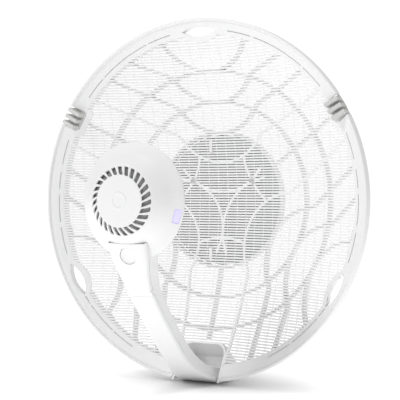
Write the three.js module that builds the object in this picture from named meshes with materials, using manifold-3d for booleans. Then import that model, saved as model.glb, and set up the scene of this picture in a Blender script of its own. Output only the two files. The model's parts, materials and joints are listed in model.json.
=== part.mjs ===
// Outdoor wireless bridge: a meshed paraboloid dish with a radio head on an offset arm,
// held on a pole by a tilting bracket and a steel band.
// Millimetres, +Z up. The dish looks along -Y. The origin is on the pole's axis, level with
// the dish's axis.

import * as THREE from 'three';
import { mergeVertices } from 'three/addons/utils/BufferGeometryUtils.js';
import Module from 'manifold-3d';

const wasm = await Module();
wasm.setup();

// ---------------------------------------------------------------- driving dimensions

const GAP = 0.3;              // clearance between pieces that touch
const ACROSS = 40;            // half length of a cutting tool that runs right through a piece

// dish
const DISH_R = 206.5;         // outer radius of the rim
const DISH_DEPTH = 70;        // rim plane to vertex
const RIM_WIDTH = 17.5;       // radial width of the rim channel
const RIM_DEPTH = 11;         // front to back of the rim channel
const SKIN = 2.6;             // wall of the rim channel
const BEAD = 3;               // raised bead round the rim's outer edge
const MESH_T = 1.2;           // thickness of the reflector mesh
const RIB_PITCH = DISH_R * 0.17;    // spacing of the rib curves along their own axis
const RIB_CORNER = DISH_R * 0.2954; // radius at the bend of each rib curve
const RIB_T = 3.2;            // thickness of a rib
const RIB_DEPTH = 9.5;        // front to back of a rib
const RIB_CURVES = 6;         // rib curves opening to each slot
const RIB_SET = 1;            // mesh back to the ribs' front
const DISH_SIDES = 60;        // facets round the dish
const SLOT_LENGTH = 43;       // eye slots in the rim
const SLOT_WIDTH = 11;
const SLOT_RADIUS = DISH_R - 13.8;  // dish axis to the middle of a slot
const EAR_RADIUS = DISH_R - 26;     // dish axis to the inner edge of the solid ear round a slot
const NOTCH_WIDTH = 26;       // notches in the rim
const NOTCH_DEPTH = 20;
const NOTCH_BAND = 5;         // solid band round a notch
const SOCKET_WIDTH = 56;      // pocket in the rim that takes the arm's foot
const SOCKET_HEIGHT = 41;     // rim edge to the pocket's top
const SOCKET_BACK = 46;       // rim plane to the pocket's back face
const WALL = 2.5;             // wall of every moulded housing

// hub and tilt bracket
const HUB_R = DISH_R * 0.373;       // round plate behind the middle of the mesh
const HUB_SCREW_R = DISH_R * 0.218; // dish axis to a hub screw
const HUB_FRONT = 7.5;        // mesh surface to the hub plate's front
const HUB_BACK = DISH_DEPTH + 12;   // rim plane to the hub plate's flat back
const SCREW_R = 1.8;          // small screws
const HUB_SCREW_HEAD = 2.8;   // radius of the hub screws' heads
const SCREW_CLEAR = 0.4;      // radial clearance of the small screws
const YOKE_HALF = 21;         // half width over the yoke's ears
const YOKE_BASE_T = 4.2;      // yoke's base plate
const EAR_T = 4;              // thickness of the ears and of the bracket's lugs
const PIVOT_Y = HUB_BACK + 20;      // rim plane to the tilt axis
const LOCK_DROP = 17;         // tilt axis to the locking bolt
const TILT_LIMIT = 15;        // degrees each way
const BOLT_R = 3;             // pivot and locking bolts
const BOLT_CLEAR = 0.35;      // radial clearance of the bolts
const EAR_ROUND = 11;         // round ends of the yoke's ears
const LUG_ROUND = 8;          // round ends of the bracket's lugs
const HEX_R = BOLT_R + 2.8;   // hexagon heads and nuts, centre to corner
const HEX_T = 5;

// pole clamp
const POLE_R = 19;            // mast that the saddle is drawn for
const POLE_Y = PIVOT_Y + 44;  // rim plane to the mast's axis
const SADDLE_HALF = POLE_R + 1;     // half width of the saddle
const SADDLE_HEIGHT = 88;
const SADDLE_FRONT = PIVOT_Y + 5;   // rim plane to the saddle's front face
const SADDLE_TIP = POLE_Y - 12;     // rim plane to the tips of the vee
const SADDLE_WIDE_Y = PIVOT_Y + 18; // where the saddle widens, clear of the tilting ears
const BAND_Z = 36;            // mast bands above and below the dish's axis
const BAND_T = 0.9;
const BAND_WIDTH = 14;
const WORM_LENGTH = 22;       // worm housing on a band
const WORM_R = 4;

// radio head
const HEAD_R = 61.5;
const HEAD_SPLIT = -130;      // seam between front cap and rear housing
const HEAD_FRONT = -159;
const HEAD_BACK = -92;
const HEAD_SIDES = 40;        // facets round the head
const VENT_IN = 26.5;         // vent ring
const VENT_OUT = 36;
const VENT_COUNT = 27;
const VENT_WIDTH = 4.4;
const VENT_SWIRL = 9;         // degrees that a vent slot turns from end to end
const HORN_R = 15;
const LENS_TIP = -76;         // front-most point of the feed lens, towards the dish
const BOARD_R = HEAD_R - 17.5;
const SINK_R = HEAD_R - 25.5; // heat sink
const SHIELD_HALF = 20;       // half side of the screening can
const GASKET_R = HEAD_R - 6.4;      // middle of the seal in the head's seam
const BOSS_R = 4.4;           // screw bosses in the head

// arm
const ARM_T = 16;             // arm thickness, square to its front face
const NECK_T = 20;            // the same at the head
const COVER_T = 5;            // depth of the front covers
const NECK_END = -100;        // height of the seam between port cover and front cover
const COVER_TOP = -44;        // height of the port cover's top edge
const BUTTON_R = 9;           // release button
const BUTTON_SINK = 0.8;      // button face below the cover's face
const BUTTON_Z = -57;         // height of the release button's middle
const JACK_Z = -44;           // height of the jack's mouth, on the arm's front
const JACK_HALF = 8;          // jack half width
const JACK_T = 11.5;
const JACK_LENGTH = 15;

// front face of the arm, from the head to the foot, as (y, share of the way down to the chin)
const CHIN = DISH_R + 2.3;            // dish axis to the lowest point of the foot
const ARM_TOP = -42;                  // height at which the arm's front leaves the head
const down = (share) => ARM_TOP - share * (CHIN + ARM_TOP);
const ARM_FRONT = [
  [-147, 0], [-136, 0.162], [-119, 0.33], [-88, 0.5456], [-63, 0.7014],
  [-50, 0.7794], [-22, 0.9053], [0, 0.9652], [20, 0.9976], [42.4, 1],
].map(([y, share]) => [y, down(share)]);

// half width of the arm at a height, from the head to the foot, as (z, half width)
const ARM_HALF = [
  [-30, 24.5], [-45, 23.6], [-60, 22], [-74, 18.6], [-88, 15.8], [-104, 14.8],
  [68.8 - CHIN, 14.4], [36.8 - CHIN, 14.6], [22.8 - CHIN, 17], [12.8 - CHIN, 21.5],
  [5.8 - CHIN, 25.6], [-4.2 - CHIN, 27.2],
];

// ---------------------------------------------------------------- materials

const finish = (color, roughness, metalness = 0) =>
  new THREE.MeshStandardMaterial({ color, roughness, metalness });

const whitePlastic = () => finish(0xf2f2f2, 0.45);
const greyPlastic = () => finish(0xb4b6b8, 0.55);
const darkPlastic = () => finish(0x35373a, 0.6);
const rubber = () => finish(0x26272a, 0.85);
const castAluminium = () => finish(0xb9bbbd, 0.45, 0.9);
const steel = () => finish(0xa8a9ab, 0.3, 1);
const board = () => finish(0x1f5a3a, 0.5);
const tinPlate = () => finish(0xc8c9ca, 0.3, 1);
const violetLens = () => finish(0xb9b4ee, 0.25);

// ---------------------------------------------------------------- solids

// A solid from any closed three.js geometry, with its faces turned outwards.
function solid(geometry) {
  const plain = geometry.clone();
  for (const name of Object.keys(plain.attributes)) {
    if (name !== 'position') plain.deleteAttribute(name);
  }
  const merged = mergeVertices(plain, 1e-4);
  const p = merged.attributes.position.array;
  const source = merged.index.array;
  const triangles = [];
  let volume = 0;
  for (let i = 0; i < source.length; i += 3) {
    const [a, b, c] = [source[i], source[i + 1], source[i + 2]];
    if (a === b || b === c || c === a) continue;
    triangles.push(a, b, c);
    const [A, B, C] = [a, b, c].map((k) => new THREE.Vector3().fromArray(p, 3 * k));
    volume += A.dot(B.cross(C));
  }
  if (volume < 0) triangles.reverse();
  const mesh = new wasm.Mesh({
    numProp: 3,
    vertProperties: new Float32Array(p),
    triVerts: new Uint32Array(triangles),
  });
  return new wasm.Manifold(mesh);
}

const join = (...parts) => parts.reduce((whole, next) => whole.add(next));
const cut = (whole, ...tools) => tools.reduce((rest, tool) => rest.subtract(tool), whole);
const common = (a, b) => a.intersect(b);

const box = (x0, x1, y0, y1, z0, z1) => solid(
  new THREE.BoxGeometry(x1 - x0, y1 - y0, z1 - z0)
    .translate((x0 + x1) / 2, (y0 + y1) / 2, (z0 + z1) / 2));

// Round bar along one axis from a to b. at is where it crosses the plane square to that axis.
function bar(axis, r, a, b, at = [0, 0], sides = 24) {
  const g = new THREE.CylinderGeometry(r, r, b - a, sides).translate(0, (a + b) / 2, 0);
  if (axis === 'x') g.rotateZ(-Math.PI / 2).translate(0, at[0], at[1]);
  if (axis === 'y') g.translate(at[0], 0, at[1]);
  if (axis === 'z') g.rotateX(Math.PI / 2).translate(at[0], at[1], 0);
  return solid(g);
}

// Solid of revolution about the dish's axis. points are (radius, y).
const turned = (points, sides = 48) => solid(new THREE.LatheGeometry(
  [...points, points[0]].map(([r, y]) => new THREE.Vector2(r, y)), sides));

// Flat outlines given a thickness along x, y or z.
const outline = (points) => new THREE.Shape(points.map(([a, b]) => new THREE.Vector2(a, b)));
const flat = (shape, depth) =>
  new THREE.ExtrudeGeometry(shape, { depth, bevelEnabled: false, curveSegments: 12 });
const prismX = (points, x0, x1) => solid(
  flat(outline(points), x1 - x0).rotateX(Math.PI / 2).rotateZ(Math.PI / 2).translate(x0, 0, 0));
const prismY = (points, y0, y1) => solid(
  flat(outline(points), y1 - y0).rotateX(Math.PI / 2).translate(0, y1, 0));
const prismZ = (points, z0, z1) => solid(
  flat(outline(points), z1 - z0).translate(0, 0, z0));

// The same solid turned about the dish's axis, so that what is drawn at the top goes to an angle.
function toAngle(part, degrees) {
  const turn = new THREE.Matrix4().makeRotationY(THREE.MathUtils.degToRad(90 - degrees));
  return part.transform(turn.elements);
}

function geometryOf(part) {
  const mesh = part.getMesh();
  const g = new THREE.BufferGeometry();
  g.setAttribute('position', new THREE.BufferAttribute(new Float32Array(mesh.vertProperties), 3));
  g.setIndex(new THREE.BufferAttribute(new Uint32Array(mesh.triVerts), 1));
  const loose = g.toNonIndexed();
  loose.computeVertexNormals();
  return loose;
}

const object = new THREE.Group();
object.position.set(0, -POLE_Y, 0);

function place(name, part, material, group = object) {
  const mesh = new THREE.Mesh(geometryOf(part), material);
  mesh.name = name;
  group.add(mesh);
}

// ---------------------------------------------------------------- dish surface

const surfaceY = (r) => DISH_DEPTH * (1 - (r * r) / (DISH_R * DISH_R));
const rad = THREE.MathUtils.degToRad;
const SLOT_ANGLES = [90, 210, 330];
const NOTCH_ANGLES = { right: 30, left: 150 };
const RIM_IN = DISH_R - RIM_WIDTH;

// Shell of revolution behind the reflecting surface, from radius a to b and depth d0 to d1.
function dishShell(a, b, d0, d1, rings, sides) {
  const front = [];
  const back = [];
  for (let i = 0; i <= rings; i += 1) {
    const r = a + ((b - a) * i) / rings;
    front.push([r, surfaceY(r) + d0]);
    back.unshift([r, surfaceY(r) + d1]);
  }
  return turned([...front, ...back], sides);
}

// Lens-shaped outline at the top of the dish, grown by a margin.
function eye(margin) {
  const half = SLOT_LENGTH / 2 + margin;
  const rise = SLOT_WIDTH / 2 + margin;
  const r = (half * half + rise * rise) / (2 * rise);
  const sweep = Math.asin(half / r);
  const steps = 6;
  const points = [];
  for (const side of [1, -1]) {
    for (let i = 0; i < steps; i += 1) {
      const a = sweep - (2 * sweep * i) / steps;
      const x = side * r * Math.sin(a);
      const z = SLOT_RADIUS + side * (rise - r + r * Math.cos(a));
      points.push([x, z]);
    }
  }
  return points;
}

// Outline of a rim notch drawn at the top of the dish, grown by a margin.
function notch(margin) {
  const half = NOTCH_WIDTH / 2 + margin;
  const foot = DISH_R - NOTCH_DEPTH - margin;
  const lean = 3;
  const corner = 4;
  return [
    [-half, DISH_R + 5], [-half, foot + corner], [-half + lean, foot],
    [half - lean, foot], [half, foot + corner], [half, DISH_R + 5],
  ];
}

const DEEP = DISH_DEPTH + 20;         // behind everything that lies against the dish
const SOCKET_TOP = -(DISH_R - SOCKET_HEIGHT);
const SOCKET_HALF = SOCKET_WIDTH / 2 + WALL;
const socketSpace = (margin) => box(
  -SOCKET_HALF - margin, SOCKET_HALF + margin,
  -60, DEEP, -DISH_R - 20, SOCKET_TOP + WALL + margin);

// Solid parts of the dish inside the rim channel: ears round the slots, bands round the notches.
const REACH = 40;                     // in front of the rim plane, and beyond the rim
const earRegion = (margin) => prismY(
  [[-90, EAR_RADIUS - margin], [90, EAR_RADIUS - margin],
    [90, EAR_RADIUS + REACH], [-90, EAR_RADIUS + REACH]], -REACH, DEEP);
const solidRegions = (margin) => join(
  ...SLOT_ANGLES.map((a) => toAngle(earRegion(margin), a)),
  ...Object.values(NOTCH_ANGLES).map(
    (a) => toAngle(prismY(notch(NOTCH_BAND + margin), -REACH, DEEP), a)));

// ---------------------------------------------------------------- rim frame

function rimFrame() {
  const inner = RIM_IN + SKIN;
  const outer = DISH_R - SKIN;
  const edge = DISH_R - BEAD;
  const channel = turned([
    [RIM_IN, surfaceY(RIM_IN)], [edge, surfaceY(edge)], [edge + 0.4, 0], [DISH_R, 0],
    [DISH_R, RIM_DEPTH], [outer, RIM_DEPTH], [outer, surfaceY(outer) + SKIN],
    [inner, surfaceY(inner) + SKIN], [inner, surfaceY(inner) + RIM_DEPTH],
    [RIM_IN, surfaceY(RIM_IN) + RIM_DEPTH],
  ], DISH_SIDES);
  const plate = common(dishShell(EAR_RADIUS - 12, inner, 0, SKIN, 1, DISH_SIDES), solidRegions(0));
  const slots = SLOT_ANGLES.map((a) => toAngle(prismY(eye(0), -REACH, DEEP), a));
  const slotWalls = SLOT_ANGLES.map((a) => toAngle(prismY(eye(SKIN), -REACH, DEEP), a));
  const walls = common(
    dishShell(EAR_RADIUS - 12, DISH_R - 1, 1, RIM_DEPTH - 3, 1, DISH_SIDES), join(...slotWalls));
  const notches = Object.values(NOTCH_ANGLES).map(
    (a) => toAngle(prismY(notch(0), -REACH, DEEP), a));
  return cut(join(channel, plate, walls), ...slots, ...notches, socketSpace(GAP));
}
place('rim_frame', rimFrame(), whitePlastic());

// Insert with three bars that fills a rim notch.
function catchInsert() {
  const half = NOTCH_WIDTH / 2 - GAP;
  const low = DISH_R - NOTCH_DEPTH + GAP;
  const floor = surfaceY(low);
  const base = common(
    prismY(notch(-GAP), floor - 3, floor),
    turned([[0, -30], [DISH_R - 1, -30], [DISH_R - 1, 40], [0, 40]], DISH_SIDES));
  const bars = [-1, 0, 1].map((k) => {
    const x = k * (half - 4.5);
    return box(x - 2.1, x + 2.1, -1.5, floor - 1, low + 1.5, DISH_R - 1.5);
  });
  return join(base, ...bars);
}
for (const [side, angle] of Object.entries(NOTCH_ANGLES)) {
  place(`radome_catch_${side}`, toAngle(catchInsert(), angle), greyPlastic());
}

// ---------------------------------------------------------------- reflector mesh

// The mesh is cut away round the hub screws; its fine perforations are finer than this solid.
const hubSpots = Object.values(NOTCH_ANGLES).map(
  (a) => [HUB_SCREW_R * Math.cos(rad(a)), HUB_SCREW_R * Math.sin(rad(a))]);

function reflectorMesh() {
  const rim = RIM_IN - GAP;
  const shell = dishShell(0, rim, 0, MESH_T, 6, DISH_SIDES);
  const holes = hubSpots.map((at) => bar('y', SCREW_R + SCREW_CLEAR, 40, DEEP, at, 12));
  return cut(shell, solidRegions(GAP), socketSpace(GAP), ...holes);
}
place('reflector_mesh', reflectorMesh(), whitePlastic());

// ---------------------------------------------------------------- rib lattice

// A rib follows a plan curve of (x, z) points, just behind the mesh.
function rib(points, depth, closed = false) {
  const d0 = MESH_T + RIB_SET;
  const d1 = d0 + depth;
  const count = points.length;
  const position = [];
  for (let i = 0; i < count; i += 1) {
    const before = points[closed ? (i + count - 1) % count : Math.max(i - 1, 0)];
    const after = points[closed ? (i + 1) % count : Math.min(i + 1, count - 1)];
    const [dx, dz] = [after[0] - before[0], after[1] - before[1]];
    const length = Math.hypot(dx, dz);
    const [nx, nz] = [(-dz / length) * (RIB_T / 2), (dx / length) * (RIB_T / 2)];
    const [x, z] = points[i];
    const yA = surfaceY(Math.hypot(x + nx, z + nz));
    const yB = surfaceY(Math.hypot(x - nx, z - nz));
    position.push(x + nx, yA + d0, z + nz, x - nx, yB + d0, z - nz);
    position.push(x - nx, yB + d1, z - nz, x + nx, yA + d1, z + nz);
  }
  const index = [];
  const spans = closed ? count : count - 1;
  for (let i = 0; i < spans; i += 1) {
    const a = 4 * i;
    const b = 4 * ((i + 1) % count);
    for (let k = 0; k < 4; k += 1) {
      const m = (k + 1) % 4;
      index.push(a + k, b + k, b + m, a + k, b + m, a + m);
    }
  }
  if (!closed) {
    const e = 4 * (count - 1);
    index.push(0, 1, 2, 0, 2, 3, e, e + 2, e + 1, e, e + 3, e + 2);
  }
  const g = new THREE.BufferGeometry();
  g.setAttribute('position', new THREE.Float32BufferAttribute(position, 3));
  g.setIndex(index);
  return solid(g);
}

const ring = (r, steps) => Array.from({ length: steps }, (_, i) => {
  const a = (2 * Math.PI * i) / steps;
  return [r * Math.cos(a), r * Math.sin(a)];
});

// Rib curve k of the family that opens towards the top: two straight legs, 60 degrees off the
// opening's axis, joined by a round bend. Legs that start at the dish's axis stop short of the
// hub's rim and go on beyond it.
const LEG = RIB_CORNER / Math.tan(rad(60));
const bendMiddle = (k) => k * RIB_PITCH + RIB_CORNER / Math.sin(rad(60));
const bendPoint = (k, a) => [
  RIB_CORNER * Math.sin(rad(a)), bendMiddle(k) - RIB_CORNER * Math.cos(rad(a))];
const legPoint = (k, side, s) => [
  side * s * Math.sin(rad(60)), k * RIB_PITCH + s * Math.cos(rad(60))];

function legEnd(k) {
  const h = k * RIB_PITCH;
  const reach = RIM_IN - GAP - 1;
  return -h / 2 + Math.sqrt(reach * reach - 0.75 * h * h);
}

function legRun(k, side, from, to) {
  const steps = Math.ceil(Math.abs(to - from) / 45);
  return Array.from({ length: steps + 1 }, (_, i) => legPoint(k, side, from + ((to - from) * i) / steps));
}

const bend = (k, from, to) => Array.from(
  { length: 5 }, (_, i) => bendPoint(k, from + ((to - from) * i) / 4));

const turnPlan = ([x, z], degrees) => {
  const a = rad(degrees - 90);
  return [x * Math.cos(a) - z * Math.sin(a), x * Math.sin(a) + z * Math.cos(a)];
};

const RING_R = [2, 3, 4].map((k) => bendMiddle(k) - RIB_CORNER);

function ribLattice() {
  const ribs = RING_R.map((r) => rib(ring(r, 27), RIB_DEPTH, true));
  for (const angle of SLOT_ANGLES) {
    const add = (points, depth) => ribs.push(rib(points.map((p) => turnPlan(p, angle)), depth));
    const shallow = RIB_DEPTH / 2;
    // Legs through the dish's axis are shared by two families, so each family draws one.
    add([...bend(0, -56, 60), legPoint(0, 1, HUB_SCREW_R + 1.2)], shallow);
    add(legRun(0, 1, RING_R[0], legEnd(0)), RIB_DEPTH);
    const link = [-1, -0.5, 0, 0.5, 1].map((t) => [t * (RIB_PITCH * Math.cos(rad(30))),
      -HUB_SCREW_R - 6 * t * t]);
    add(link, shallow);
    for (let k = 1; k < RIB_CURVES; k += 1) {
      if (legEnd(k) < LEG) {
        continue;
      }
      add([...legRun(k, -1, legEnd(k), LEG).slice(0, -1), ...bend(k, -60, 60),
        ...legRun(k, 1, LEG, legEnd(k)).slice(1)], k === 1 ? shallow : RIB_DEPTH);
    }
  }
  const bosses = hubSpots.map((at) => {
    const y = surfaceY(HUB_SCREW_R) + MESH_T + RIB_SET + 0.4;
    return bar('y', 4.6, y, y + RIB_DEPTH / 2 - 1, at, 12);
  });
  const holes = hubSpots.map((at) => bar('y', SCREW_R + SCREW_CLEAR, 40, DEEP, at, 12));
  const reach = RIM_IN - GAP;
  const withinRim = turned([[0, 0], [reach, 0], [reach, DEEP], [0, DEEP]], DISH_SIDES);
  return cut(common(join(...ribs, ...bosses), withinRim),
    solidRegions(GAP), socketSpace(GAP), ...holes);
}
place('rib_lattice', ribLattice(), whitePlastic());

// ---------------------------------------------------------------- arm socket

const FOOT_SCREW = [20, 6 - DISH_R];  // x and z of the screws that hold the arm's foot
const CABLE_EXIT = [0, 6 - DISH_R];   // x and z where a cable leaves the foot
const CABLE_BORE = 3.2;
const GROMMET_R = 5;
const CABLE_HALF = 12;                // half width of the cable's way through the foot

function armSocket() {
  const behindSurface = dishShell(-SOCKET_TOP - 30, DISH_R - 0.8, 0, 70, 2, DISH_SIDES);
  const outer = common(
    box(-SOCKET_HALF, SOCKET_HALF, -5, SOCKET_BACK, -DISH_R, SOCKET_TOP + WALL), behindSurface);
  const inner = box(-SOCKET_WIDTH / 2, SOCKET_WIDTH / 2,
    -10, SOCKET_BACK - WALL, -DISH_R - 20, SOCKET_TOP);
  const through = (x, z, r) => bar('y', r, SOCKET_BACK - 10, SOCKET_BACK + 5, [x, z], 16);
  return cut(outer, inner,
    through(FOOT_SCREW[0], FOOT_SCREW[1], SCREW_R + SCREW_CLEAR),
    through(-FOOT_SCREW[0], FOOT_SCREW[1], SCREW_R + SCREW_CLEAR),
    through(CABLE_EXIT[0], CABLE_EXIT[1], GROMMET_R + GAP));
}
place('arm_socket', armSocket(), whitePlastic());

function cableGrommet() {
  const face = SOCKET_BACK + GAP;
  const body = turned([[CABLE_BORE, face - WALL], [GROMMET_R, face - WALL], [GROMMET_R, face],
    [GROMMET_R + 2.5, face], [GROMMET_R + 1.5, face + 2.5], [CABLE_BORE, face + 2.5]], 20);
  return body.translate([CABLE_EXIT[0], 0, CABLE_EXIT[1]]);
}
place('cable_grommet', cableGrommet(), rubber());

// ---------------------------------------------------------------- hub plate and its screws

const YOKE_SCREWS = [[8, 20], [-8, 20], [8, -20], [-8, -20]];

// Screw along y with its head towards a, or towards b when b is the smaller.
function screwY(at, headR, headT, a, b, r = SCREW_R) {
  const way = Math.sign(b - a);
  const [h0, h1] = [a, a + way * headT];
  return join(
    bar('y', headR, Math.min(h0, h1), Math.max(h0, h1), at, 14),
    bar('y', r, Math.min(a, b), Math.max(a, b), at, 10));
}

function hubPlate() {
  const rings = 3;
  const front = Array.from({ length: rings + 1 }, (_, i) => {
    const r = (HUB_R * i) / rings;
    return [r, surfaceY(r) + HUB_FRONT];
  });
  const edge = surfaceY(HUB_R) + HUB_FRONT + 6;
  const plate = turned([...front, [HUB_R, edge], [HUB_R - 25, HUB_BACK], [0, HUB_BACK]], 36);
  const hubHoles = hubSpots.map(
    (at) => bar('y', SCREW_R + SCREW_CLEAR, DISH_DEPTH - 10, HUB_BACK - 1.5, at, 10));
  const yokeHoles = YOKE_SCREWS.map(
    (at) => bar('y', SCREW_R + SCREW_CLEAR, HUB_BACK - 4.4, HUB_BACK + 2, at, 10));
  return cut(plate, ...hubHoles, ...yokeHoles);
}
place('hub_plate', hubPlate(), greyPlastic());

hubSpots.forEach((at, i) => {
  const seat = surfaceY(HUB_SCREW_R + HUB_SCREW_HEAD) - 2 * GAP;
  place(`hub_screw_${i + 1}`, screwY(at, HUB_SCREW_HEAD, 2, seat - 2, HUB_BACK - 2.5), darkPlastic());
});

// ---------------------------------------------------------------- tilt yoke

const PIVOT = [PIVOT_Y, 0];
const LOCK = [PIVOT_Y, -LOCK_DROP];
const bothSides = (make) => join(make(1), make(-1));
const slab = (side, x0, x1, make) => make(Math.min(side * x0, side * x1), Math.max(side * x0, side * x1));

function tiltYoke() {
  const base0 = HUB_BACK + GAP;
  const base1 = base0 + YOKE_BASE_T;
  const base = box(-YOKE_HALF, YOKE_HALF, base0, base1, -LOCK_DROP - EAR_ROUND, LOCK_DROP + 9);
  const ear = (side) => slab(side, YOKE_HALF - EAR_T, YOKE_HALF, (x0, x1) => join(
    box(x0, x1, base0, PIVOT_Y, -LOCK_DROP - EAR_ROUND, EAR_ROUND),
    bar('x', EAR_ROUND, x0, x1, PIVOT, 20),
    bar('x', EAR_ROUND, x0, x1, LOCK, 20)));
  const hole = BOLT_R + BOLT_CLEAR;
  const reach = TILT_LIMIT + 1;
  const at = (r, a) => [PIVOT_Y + r * Math.sin(rad(a)), -r * Math.cos(rad(a))];
  const arc = [-1, -0.5, 0, 0.5, 1].map((t) => t * reach);
  const slot = join(
    prismX([...arc.map((a) => at(LOCK_DROP - hole, a)),
      ...arc.reverse().map((a) => at(LOCK_DROP + hole, a))], -ACROSS, ACROSS),
    bar('x', hole, -ACROSS, ACROSS, at(LOCK_DROP, reach), 12),
    bar('x', hole, -ACROSS, ACROSS, at(LOCK_DROP, -reach), 12));
  const screws = YOKE_SCREWS.map(
    (p) => bar('y', SCREW_R + SCREW_CLEAR, base0 - 2, base1 + 2, p, 10));
  return cut(join(base, bothSides(ear)), slot, bar('x', hole, -ACROSS, ACROSS, PIVOT, 16), ...screws);
}
place('tilt_yoke', tiltYoke(), castAluminium());

YOKE_SCREWS.forEach((at, i) => {
  const seat = HUB_BACK + 2 * GAP + YOKE_BASE_T;
  place(`yoke_screw_${i + 1}`, screwY(at, 3.4, 2.4, seat + 2.4, HUB_BACK - 4), steel());
});

// ---------------------------------------------------------------- pole bracket and bands

const LUG_OUT = YOKE_HALF - EAR_T - GAP;
const VEE_APEX = POLE_Y - POLE_R * Math.SQRT2;
const BAND_X = SADDLE_HALF + 0.4;     // inner face of a band's straight sides

function bandLoop(z, grow, width) {
  const [inner, outer] = [BAND_X - grow, BAND_X + BAND_T + grow];
  const front = SADDLE_FRONT + 3;
  const path = (x, y0) => {
    const back = Array.from({ length: 13 }, (_, i) => {
      const a = (Math.PI * i) / 12;
      return [x * Math.cos(a), POLE_Y + x * Math.sin(a)];
    });
    return [[-x, y0], [x, y0], ...back];
  };
  const whole = prismZ(path(outer, front - BAND_T / 2 - grow), z - width / 2, z + width / 2);
  const hollow = prismZ(path(inner, front + BAND_T / 2 + grow), z - width, z + width);
  return cut(whole, hollow);
}

function poleBracket() {
  const tip = SADDLE_TIP - VEE_APEX;
  const plan = [
    [-LUG_OUT, SADDLE_FRONT], [LUG_OUT, SADDLE_FRONT], [LUG_OUT, SADDLE_WIDE_Y - 3],
    [SADDLE_HALF, SADDLE_WIDE_Y], [SADDLE_HALF, SADDLE_TIP], [tip, SADDLE_TIP], [0, VEE_APEX],
    [-tip, SADDLE_TIP], [-SADDLE_HALF, SADDLE_TIP], [-SADDLE_HALF, SADDLE_WIDE_Y],
    [-LUG_OUT, SADDLE_WIDE_Y - 3],
  ];
  const saddle = prismZ(plan, -SADDLE_HEIGHT / 2, SADDLE_HEIGHT / 2);
  const lug = (side) => slab(side, LUG_OUT - EAR_T, LUG_OUT, (x0, x1) => join(
    box(x0, x1, PIVOT_Y, SADDLE_FRONT + 1, -LOCK_DROP - LUG_ROUND, LUG_ROUND),
    bar('x', LUG_ROUND, x0, x1, PIVOT, 18),
    bar('x', LUG_ROUND, x0, x1, LOCK, 18)));
  const hole = BOLT_R + BOLT_CLEAR;
  const bandSlots = [BAND_Z, -BAND_Z].map((z) => bandLoop(z, GAP, BAND_WIDTH + 2 * GAP));
  return cut(join(saddle, bothSides(lug)), bar('x', hole, -ACROSS, ACROSS, PIVOT, 16),
    bar('x', hole, -ACROSS, ACROSS, LOCK, 16), ...bandSlots);
}
place('pole_bracket', poleBracket(), castAluminium());

// Hexagon bolt across the yoke, with its nut at the other end.
function placeBolt(name, at) {
  const seat = YOKE_HALF + GAP;
  const head = bar('x', HEX_R, -seat - HEX_T, -seat, at, 6);
  const shank = bar('x', BOLT_R, -seat - 1, seat + HEX_T + 2, at, 18);
  place(`${name}_bolt`, join(head, shank), steel());
  const nut = cut(bar('x', HEX_R, seat, seat + HEX_T, at, 6),
    bar('x', BOLT_R + GAP, seat - 1, seat + HEX_T + 1, at, 18));
  place(`${name}_nut`, nut, steel());
}
placeBolt('pivot', PIVOT);
placeBolt('lock', LOCK);

const WORM_X = -(BAND_X + BAND_T + GAP + WORM_R + 2);
for (const [level, z] of [['upper', BAND_Z], ['lower', -BAND_Z]]) {
  place(`clamp_band_${level}`, bandLoop(z, 0, BAND_WIDTH), steel());
  const y0 = POLE_Y - WORM_LENGTH / 2;
  const y1 = POLE_Y + WORM_LENGTH / 2;
  const shell = box(WORM_X - WORM_R - 1.5, WORM_X + WORM_R + 2, y0, y1,
    z - WORM_R - 2, z + WORM_R + 2);
  const bore = bar('y', WORM_R + GAP, y0 - 1, y1 + 1, [WORM_X, z], 20);
  place(`worm_housing_${level}`, cut(shell, bore), steel());
  const worm = join(
    bar('y', WORM_R, y0 + 1, y1 + 1, [WORM_X, z], 16),
    bar('y', HEX_R, y1 + GAP + 0.7, y1 + HEX_T + 1, [WORM_X, z], 6));
  place(`worm_screw_${level}`, worm, steel());
}

// ---------------------------------------------------------------- radio head shells

const HEAD_SCREWS = [90, 210, 330];
const HEAD_SCREW_R = HEAD_R - 12.5;
// (share of the head's radius, y) of the front cap and of the bowl behind it
const ofHead = ([share, y]) => [share * HEAD_R, y];
const CAP_PROFILE = [[0, HEAD_FRONT], [0.423, HEAD_FRONT + 0.6], [0.602, HEAD_FRONT + 6],
  [0.715, HEAD_FRONT + 12.6], [0.813, HEAD_FRONT + 19], [0.919, HEAD_SPLIT - 4.5],
  [0.98, HEAD_SPLIT - 1.6]].map(ofHead);
const BOWL_PROFILE = [[0.951, HEAD_SPLIT + 3.5], [0.846, HEAD_SPLIT + 14],
  [0.748, HEAD_SPLIT + 25], [0.65, HEAD_BACK - 4], [0.569, HEAD_BACK]].map(ofHead);

// Head outline with its wall drawn in by a margin, in front of the seam or behind it.
function headSolid(front, margin) {
  const inward = ([r, y]) => {
    const k = (r - margin * (r / HEAD_R)) / (r || 1);
    return [r * k, y + margin * (front ? 1 : -1) * Math.max(0.55, 1 - r / HEAD_R)];
  };
  const seam = HEAD_SPLIT + (front ? -GAP / 2 : GAP / 2);
  const profile = (front ? CAP_PROFILE : [...BOWL_PROFILE].reverse()).map(inward);
  if (!front) profile.unshift([0, HEAD_BACK - margin]);
  const limit = front ? profile.filter(([, y]) => y < seam) : profile.filter(([, y]) => y > seam);
  return turned([...limit, [HEAD_R - margin, seam], [0, seam]], HEAD_SIDES);
}

// ---------------------------------------------------------------- arm, as a band behind its front

const spline = new THREE.SplineCurve(ARM_FRONT.map(([y, z]) => new THREE.Vector2(y, z)));
const halfSpline = new THREE.SplineCurve(ARM_HALF.map(([z, w]) => new THREE.Vector2(w, z)));
const armLength = spline.getLength();

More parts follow.
